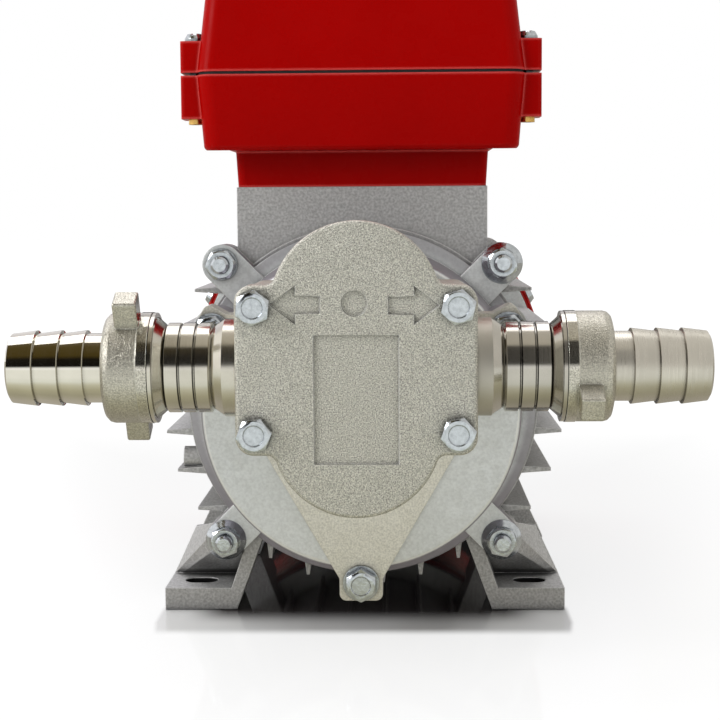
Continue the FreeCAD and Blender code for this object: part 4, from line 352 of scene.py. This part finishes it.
def shield_look():
    """Light face, a painted highlight on the bevel round it, and painted shade on the barrel and rim
    behind.
    """
    look = cast_metal("shield_alloy", (0.83, 0.855, 0.86), 0.5, 0.8, 0.05,
                      metallic=0.7, speckle=0.07, edge=0.5)
    split = look.node("ShaderNodeSeparateXYZ")
    look.link(look.node("ShaderNodeTexCoord").outputs["Normal"], split.inputs[0])

    # Facing is 1 on what looks forwards and 0 on what looks sideways; by it the bevel gets a painted
    # highlight and what looks sideways painted shade
    facing = look.math("MULTIPLY", split.outputs["Y"], -1)
    bevel = look.math("MULTIPLY", look.ranged(facing, 0, 1, 0.84, 0.88),
                      look.ranged(facing, 1, 0, 0.95, 0.98))
    look.paint_with(look.mixed(bevel, look.paint, (0.95, 0.96, 0.95)))
    look.paint_with(look.mixed(look.ranged(facing, 1, 0, 0.62, 0.84), look.paint, SHIELD_SHADE_GREY))

    # Painted shade on the flat of the rim, darker outwards and downwards
    up = look.axis("Z")
    rise = look.math("SUBTRACT", up, MOTOR_AXIS_HEIGHT)
    squared = look.math("ADD", look.math("POWER", look.axis("X"), 2), look.math("MULTIPLY", rise, rise))
    away = look.math("SQRT", squared)
    depth = look.math("ABSOLUTE", look.math("SUBTRACT", look.axis("Y"), SHIELD_RIM_FACE))
    flat = look.math("LESS_THAN", depth, 0.3)
    outwards = look.ranged(away, 0, 1, SHIELD_BARREL_RADIUS, SHIELD_RIM_RADIUS - 1.5, soft=True)
    downwards = look.ranged(up, 1, 0.5, 30, 75)
    rim = look.math("MULTIPLY", look.math("MULTIPLY", flat, outwards), downwards)
    return look.paint_with(look.mixed(rim, look.paint, SHIELD_SHADE_GREY))


def turned_metal(name, colour, roughness, streak=0.0015, spread=0.3):
    """Plated metal with fine turning marks about the X axis; the spread is a share of the roughness."""
    look = Look(name, 1.0, roughness, colour)
    look.vary_colour(9, 0.06, 3.0)
    # Painted shade in the creases
    look.shade_creases(1.2, 0.15)
    if spread:
        look.vary_roughness(0.3, roughness * spread, 2.0, (1, 0.02, 0.02))
    look.bump(look.noise(0.35, 2.0, 0.5, (1, 0.01, 0.01)), streak)
    return look


def wing_nut_look():
    """Cast outside, with a machined band towards the nipple."""
    look = cast_metal("wing_nut", (0.56, 0.54, 0.47), 0.30, 0.38, 0.15,
                      metallic=0.95, speckle=0.28, spread=0)
    beyond = look.math("GREATER_THAN", look.math("ABSOLUTE", look.axis("X")), UNION_BAND_END)
    look.split_roughness(beyond, look.roughness, BAND_ROUGHNESS)
    for item in look.tree.nodes:
        if item.type == "BUMP":
            look.link(beyond, item.inputs["Strength"])
    return look


def nipple_look(name, colour, collar_roughness):
    """Satin turned rings, and a collar with a finish of its own."""
    look = turned_metal(name, colour, RING_ROUGHNESS, 0.003, spread=0)
    collar = look.math("LESS_THAN", look.math("ABSOLUTE", look.axis("X")), COLLAR_END)
    return look.split_roughness(collar, collar_roughness, RING_ROUGHNESS)


def make_looks():
    """Materials by the record's slots, and a few by the node that they are for."""
    looks = {
        "nickel_casting": cast_metal("nickel_casting", (0.57, 0.56, 0.505), 0.44, 0.33, 0.24, speckle=0.46),
        "pump_body": cast_metal("nickel_body", (0.74, 0.72, 0.65), 0.42, 0.5, 0.06, speckle=0.15),
        "nickel_polished": turned_metal("nickel_polished", (0.80, 0.77, 0.68), 0.06),
        "right_hose_tail": turned_metal("nickel_satin", (0.66, 0.63, 0.56), 0.34, 0.004),
        # The two nipples are one nickel in two tones, the left lighter and the right darker as each is lit:
        # painted light and shade
        "left_nipple": nipple_look("nickel_rings_left", (0.68, 0.65, 0.57), 0.22),
        "right_nipple": nipple_look("nickel_rings_right", (0.56, 0.535, 0.48), 0.50),
        "left_wing_nut": wing_nut_look(),
        "shield_alloy": shield_look(),
        "housing_alloy": housing_look(),
    }
    looks["right_wing_nut"] = looks["left_wing_nut"]

    zinc = Look("zinc_steel", 1.0, 0.17, (0.60, 0.64, 0.68))
    zinc.vary_colour(1.2, 0.14)
    # Painted shade in the creases
    zinc.shade_creases(2.0, 0.08)
    zinc.vary_roughness(0.9, 0.07)
    zinc.round_edges(0.2)
    zinc.bump(zinc.noise(0.8, 3.0), 0.03)
    looks["zinc_steel"] = zinc

    ground = Look("ground_steel", 1.0, 0.25, (0.56, 0.55, 0.54))
    ground.vary_roughness(0.8, 0.08)
    ground.bump(ground.noise(0.3, 1.0, 0.5, (0.02, 1, 0.02)), 0.002)
    looks["ground_steel"] = ground

    red = Look("red_plastic", 0.0, 0.28, (0.41, 0.0004, 0.0))
    red.set("Specular IOR Level", 0.05)
    red.vary_colour(30, 0.05)
    # Painted shade in the creases and a painted pinkish highlight along the edges
    red.shade_creases(3, 0.5)
    red.paint_edge_highlights(1.4, (0.90, 0.12, 0.11))
    red.vary_roughness(6, 0.05)
    red.round_edges(0.5)
    red.bump(red.noise(0.7, 2.0), 0.006)
    looks["red_plastic"] = red

    for name, colour, rough in (
        ("black_plastic", (0.012, 0.012, 0.013), 0.42),
        ("black_rubber", (0.014, 0.014, 0.014), 0.7),
        ("gasket_fibre", (0.03, 0.028, 0.026), 0.8),
        ("pale_plastic", (0.55, 0.53, 0.48), 0.4),
    ):
        plain = Look(name, 0.0, rough, colour)
        plain.vary_colour(3, 0.12)
        plain.vary_roughness(2, 0.08)
        plain.bump(plain.noise(0.6, 2.0), 0.01)
        looks[name] = plain

    for name, colour, rough in (
        ("bronze", (0.50, 0.29, 0.12), 0.35),
        ("yellow_brass", (0.80, 0.52, 0.16), 0.25),
        ("winding", (0.42, 0.14, 0.05), 0.4),
        ("laminations", (0.22, 0.22, 0.23), 0.5),
    ):
        metal = Look(name, 1.0, rough, colour)
        metal.vary_colour(1.5, 0.12)
        metal.vary_roughness(1.2, 0.09)
        metal.bump(metal.noise(0.6, 2.0), 0.01)
        looks[name] = metal
    return looks


def dress_nodes(looks):
    """Give every CAD node the look of its own name or of its slot."""
    for item in frame["record"]["subparts"]:
        part = nodes[item["node"]]
        look = looks.get(item["node"], looks.get(item["material_slot"]))
        part.data.materials.clear()
        part.data.materials.append(look.material)
        for face in part.data.polygons:
            face.material_index = 0


def from_bmesh(name, mesh):
    """A new object in the scene, made of the bmesh, which is freed."""
    data = bpy.data.meshes.new(name)
    mesh.to_mesh(data)
    mesh.free()
    item = bpy.data.objects.new(name, data)
    scene.collection.objects.link(item)
    return item


def prism_along_y(name, outline, front, back, draft=0.0):
    """A closed prism between two planes across Y, wider at its front by the draft on every side."""
    mesh = bmesh.new()
    centre_x = sum(x for x, z in outline) / len(outline)
    centre_z = sum(z for x, z in outline) / len(outline)
    rings = []
    for y, grow in ((front, draft), (back, 0.0)):
        ring = []
        for x, z in outline:
            dx, dz = x - centre_x, z - centre_z
            reach = math.hypot(dx, dz) or 1
            ring.append(mesh.verts.new(((x + grow * dx / reach) * MM, y * MM,
                                        (z + grow * dz / reach) * MM)))
        rings.append(ring)
    count = len(outline)
    for index in range(count):
        following = (index + 1) % count
        mesh.faces.new((rings[0][index], rings[0][following], rings[1][following], rings[1][index]))
    mesh.faces.new(list(reversed(rings[0])))
    mesh.faces.new(rings[1])
    bmesh.ops.recalc_face_normals(mesh, faces=mesh.faces)
    return from_bmesh(name, mesh)


def circle_outline(centre_x, centre_z, radius, count=32):
    """A round outline with as many points as the count."""
    turns = [2 * math.pi * index / count for index in range(count)]
    return [(centre_x + radius * math.cos(t), centre_z + radius * math.sin(t)) for t in turns]


def copy_of(node, name):
    """A new piece with the shape of a CAD node, to be worked on."""
    item = bpy.data.objects.new(name, nodes[node].data.copy())
    normals = item.data.attributes.get("custom_normal")
    if normals:
        item.data.attributes.remove(normals)
    scene.collection.objects.link(item)
    return item


def weld(item, distance=0.002):
    """Join the points of a mesh that lie within a distance, in millimetres."""
    mesh = bmesh.new()
    mesh.from_mesh(item.data)
    bmesh.ops.remove_doubles(mesh, verts=mesh.verts, dist=distance * MM)
    mesh.to_mesh(item.data)
    mesh.free()


def carve(item, cutters):
    """Take the cutters out of the piece, then remove them."""
    for cutter in cutters:
        modifier = item.modifiers.new("carve", "BOOLEAN")
        modifier.operation = "DIFFERENCE"
        modifier.solver = "EXACT"
        modifier.object = cutter
    bpy.context.view_layer.update()
    graph = bpy.context.evaluated_depsgraph_get()
    data = bpy.data.meshes.new_from_object(item.evaluated_get(graph))
    item.modifiers.clear()
    item.data = data
    for cutter in cutters:
        bpy.data.objects.remove(cutter)


def finish_copy(item, node, look, degrees=32):
    """Smooth shading, material, slot and body of a piece that stands for a node."""
    item.data.materials.clear()
    item.data.materials.append(look.material)
    for face in item.data.polygons:
        face.material_index = 0
    item.data.polygons.foreach_set("use_smooth", [True] * len(item.data.polygons))
    item.data.set_sharp_from_angle(angle=math.radians(degrees))
    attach(item, "pump")
    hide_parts(node)


def make_cover(looks):
    """The front cover with its arrows, dot and bare panel sunk into the face."""
    cover = copy_of("front_cover", "cover_face")
    weld(cover)
    front, bottom = COVER_FACE - ENGRAVING_LEAD, COVER_FACE + ENGRAVING_DEPTH
    outlines = (LEFT_ARROW, RIGHT_ARROW, BARE_PANEL, circle_outline(*DOT_CENTRE, DOT_RADIUS))
    cutters = []
    for index, outline in enumerate(outlines):
        cutters.append(prism_along_y("sunk_%d" % index, outline, front, bottom, ENGRAVING_DRAFT))
    carve(cover, cutters)
    finish_copy(cover, "front_cover", looks["nickel_casting"])


def make_bolts(looks):
    """Hexagon heads with a dished top."""
    for name, node, places, top in (
        ("cover_bolt_heads", "cover_bolts", COVER_BOLTS, COVER_BOLT_TOP),
        ("flange_bolt_heads", "flange_bolts", FLANGE_BOLTS, FLANGE_BOLT_TOP),
    ):
        bolts = copy_of(node, name)
        weld(bolts)
        cutters = []
        for index, (x, z) in enumerate(places):
            cutters.append(prism_along_y("dish_%d" % index, circle_outline(x, z, DISH_RADIUS),
                                         top - DISH_LEAD, top + DISH_DEPTH, DISH_DRAFT))
        carve(bolts, cutters)
        finish_copy(bolts, node, looks["zinc_steel"])


def make_world():
    """White behind the object, and the dark room in front that the bright metal reflects."""
    world = bpy.data.worlds.new("studio")
    scene.world = world
    world.use_nodes = True
    world.node_tree.nodes.clear()
    sky = Nodes(world.node_tree)
    split = sky.node("ShaderNodeSeparateXYZ")
    sky.link(sky.node("ShaderNodeTexCoord").outputs["Generated"], split.inputs[0])
    across, along, up = split.outputs

    # Angle about the X axis: 0.5 is level in front, 0.75 overhead, 0 and 1 level behind
    ahead = sky.math("MULTIPLY", along, -1)
    turn = sky.math("ADD", sky.math("DIVIDE", sky.math("ARCTAN2", up, ahead), 2 * math.pi), 0.5)
    left_room = sky.ramp(turn, [
        (0.0, PALE_BEHIND),
        (0.49, WHITE),
        (0.512, WHITE),
        (0.530, ROOM_BLACK),
        (0.595, (0.010, 0.008, 0.005)),
        (0.63, (0.065, 0.045, 0.010)),
        (0.72, (0.085, 0.062, 0.020)),
        (0.79, (0.16, 0.13, 0.09)),
        (0.82, (0.66, 0.63, 0.68)),
        (1.0, PALE_BEHIND),
    ])
    middle_room = sky.ramp(turn, [
        (0.0, PALE_BEHIND),
        (0.512, WHITE),
        (0.530, ROOM_BLACK),
        (0.655, (0.020, 0.016, 0.010)),
        (0.675, (0.56, 0.52, 0.44)),
        (0.79, (0.62, 0.58, 0.52)),
        (0.82, (0.70, 0.67, 0.71)),
        (1.0, PALE_BEHIND),
    ])

    # Metal on the left, in the middle and on the right mirrors different rooms
    middle = sky.ranged(across, 0, 1, -0.17, -0.15, soft=True)
    room = sky.mixed(middle, left_room, middle_room)
    right_side = sky.ranged(across, 0, 1, 0.128, 0.15, soft=True)
    left_side = sky.ranged(across, 0, 1, -0.58, -0.70, soft=True)
    mirrored = sky.mixed(right_side, room, (0.70, 0.68, 0.64))
    mirrored = sky.mixed(left_side, mirrored, (1.0, 0.98, 0.96))
    level_behind = sky.ranged(along, 0, 1, 0.95, 0.97, soft=True)
    mirrored = sky.mixed(level_behind, mirrored, DARK)

    # Soft light from above, a little less of it from the camera's side
    level = sky.ranged(up, 0.15, 1, 0.10, 0.40, soft=True)
    in_front = sky.ranged(along, 1.0, 0.75, -0.1, -0.6, soft=True)
    soft_light = sky.mixed(sky.math("MULTIPLY", level, in_front), BLACK, WHITE)

    # The camera sees white, shiny surfaces mirror the room, and all else gets the soft light
    path = sky.node("ShaderNodeLightPath").outputs
    shiny = sky.math("MAXIMUM", path["Is Glossy Ray"], path["Is Transmission Ray"])
    unseen = sky.mixed(shiny, soft_light, mirrored)
    colour = sky.mixed(path["Is Camera Ray"], unseen, WHITE)
    background = sky.node("ShaderNodeBackground")
    sky.link(colour, background.inputs["Color"])
    out = sky.node("ShaderNodeOutputWorld")
    sky.link(background.outputs[0], out.inputs["Surface"])


def make_floor():
    """Glossy white table: plain white away from the object, with a painted shadow, near black, under the
    motor.
    """
    mesh = bmesh.new()
    bmesh.ops.create_grid(mesh, x_segments=8, y_segments=8, size=TABLE_REACH * MM)
    floor = from_bmesh("table", mesh)
    floor.location.z = -TABLE_DROP * MM
    look = Look("table", 0.0, 0.07, (0.82, 0.82, 0.82))
    across = look.math("ABSOLUTE", look.axis("X"))
    along = look.axis("Y")

    # In front of the feet, a short reflection that gets narrower towards the camera
    ahead = look.math("MAXIMUM", look.math("SUBTRACT", MIRROR_NARROWS_FROM, along), 0)
    narrowed = look.math("ADD", across, look.math("MULTIPLY", ahead, MIRROR_NARROWING))
    mirror_zone = look.math("MULTIPLY", look.ranged(narrowed, 1, 0, *FEET_ENDS, soft=True),
                            look.ranged(along, 0, 1, *MIRROR_FRONT, soft=True))
    mirror_zone = look.math("MULTIPLY", mirror_zone, look.ranged(along, 1, 0, *MIRROR_BACK, soft=True))

    # Under the motor, a painted shadow: the table's colour near black
    under = look.math("MULTIPLY", look.ranged(across, 1, 0, *PAINTED_SHADOW_SIDES, soft=True),
                      look.ranged(along, 1, 0, *PAINTED_SHADOW_BACK, soft=True))
    under = look.math("MULTIPLY", under, look.ranged(along, 1, 0, *PAINTED_SHADOW_FRONT, soft=True))
    look.paint_with(look.mixed(under, look.colour, (0.03, 0.025, 0.025)))

    # Elsewhere white, the more so the farther away
    from_middle = look.math("ABSOLUTE", look.math("SUBTRACT", along, OBJECT_MIDDLE))
    lengthwise = look.math("MULTIPLY", from_middle, LENGTHWISE_SHARE)
    white_share = look.ranged(look.math("MAXIMUM", across, lengthwise), 0.7, 1, *WHITE_FROM, soft=True)
    shaded = look.math("MAXIMUM", under, mirror_zone)
    white_share = look.math("MULTIPLY", white_share, look.math("SUBTRACT", 1, shaded))

    # What shiny metal sees of it: a glow with painted shade, darker towards the pump and near black between
    # and behind the feet, as a painted reflection of the shaded table
    path = look.node("ShaderNodeLightPath").outputs
    shiny = look.math("MAXIMUM", path["Is Glossy Ray"], path["Is Transmission Ray"])
    share = look.math("ADD", look.math("MULTIPLY", white_share, path["Is Camera Ray"]), shiny)
    from_front = look.ranged(along, 1, 0, *MIRRORED_FLOOR)
    beige = look.ramp(from_front, [
        (0.0, (0.45, 0.42, 0.36)),
        (0.22, (0.38, 0.36, 0.27)),
        (0.36, (0.46, 0.44, 0.32)),
        (0.52, (0.61, 0.60, 0.48)),
        (0.69, (0.82, 0.84, 0.78)),
        (1.0, (0.90, 0.91, 0.87)),
    ])
    beside = look.ranged(across, 0, 1, *FEET_ENDS, soft=True)
    open_floor = look.math("MAXIMUM", beside, look.ranged(along, 0, 1, *OPEN_FRONT, soft=True))
    beige = look.mixed(open_floor, DARK, beige)
    glow = look.node("ShaderNodeEmission")
    look.link(look.mixed(path["Is Camera Ray"], beige, FLOOR_GLOW), glow.inputs["Color"])
    mix = look.node("ShaderNodeMixShader")
    look.link(share, mix.inputs[0])
    look.link(look.shader.outputs[0], mix.inputs[1])
    look.link(glow.outputs[0], mix.inputs[2])
    out = next(n for n in look.tree.nodes if n.type == "OUTPUT_MATERIAL")
    look.link(mix.outputs[0], out.inputs["Surface"])
    floor.data.materials.append(look.material)


def make_lamp(name, place, target, size, power):
    """A square or oblong soft light, in metres and watts."""
    data = bpy.data.lights.new(name, "AREA")
    data.shape = "RECTANGLE"
    data.size, data.size_y = size
    data.energy = power
    lamp = bpy.data.objects.new(name, data)
    lamp.location = place
    lamp.rotation_euler = (Vector(target) - Vector(place)).to_track_quat("-Z", "Y").to_euler()
    scene.collection.objects.link(lamp)


make_camera()
looks = make_looks()
dress_nodes(looks)
make_cover(looks)
make_bolts(looks)
make_world()
make_floor()
make_lamp("overhead", (-0.3, 0.6, 1.4), (0, 0, 0.05), (1.6, 0.9), 8)
make_lamp("left", (-1.0, -0.6, 0.75), (0, -0.05, 0.08), (0.5, 0.5), 6)
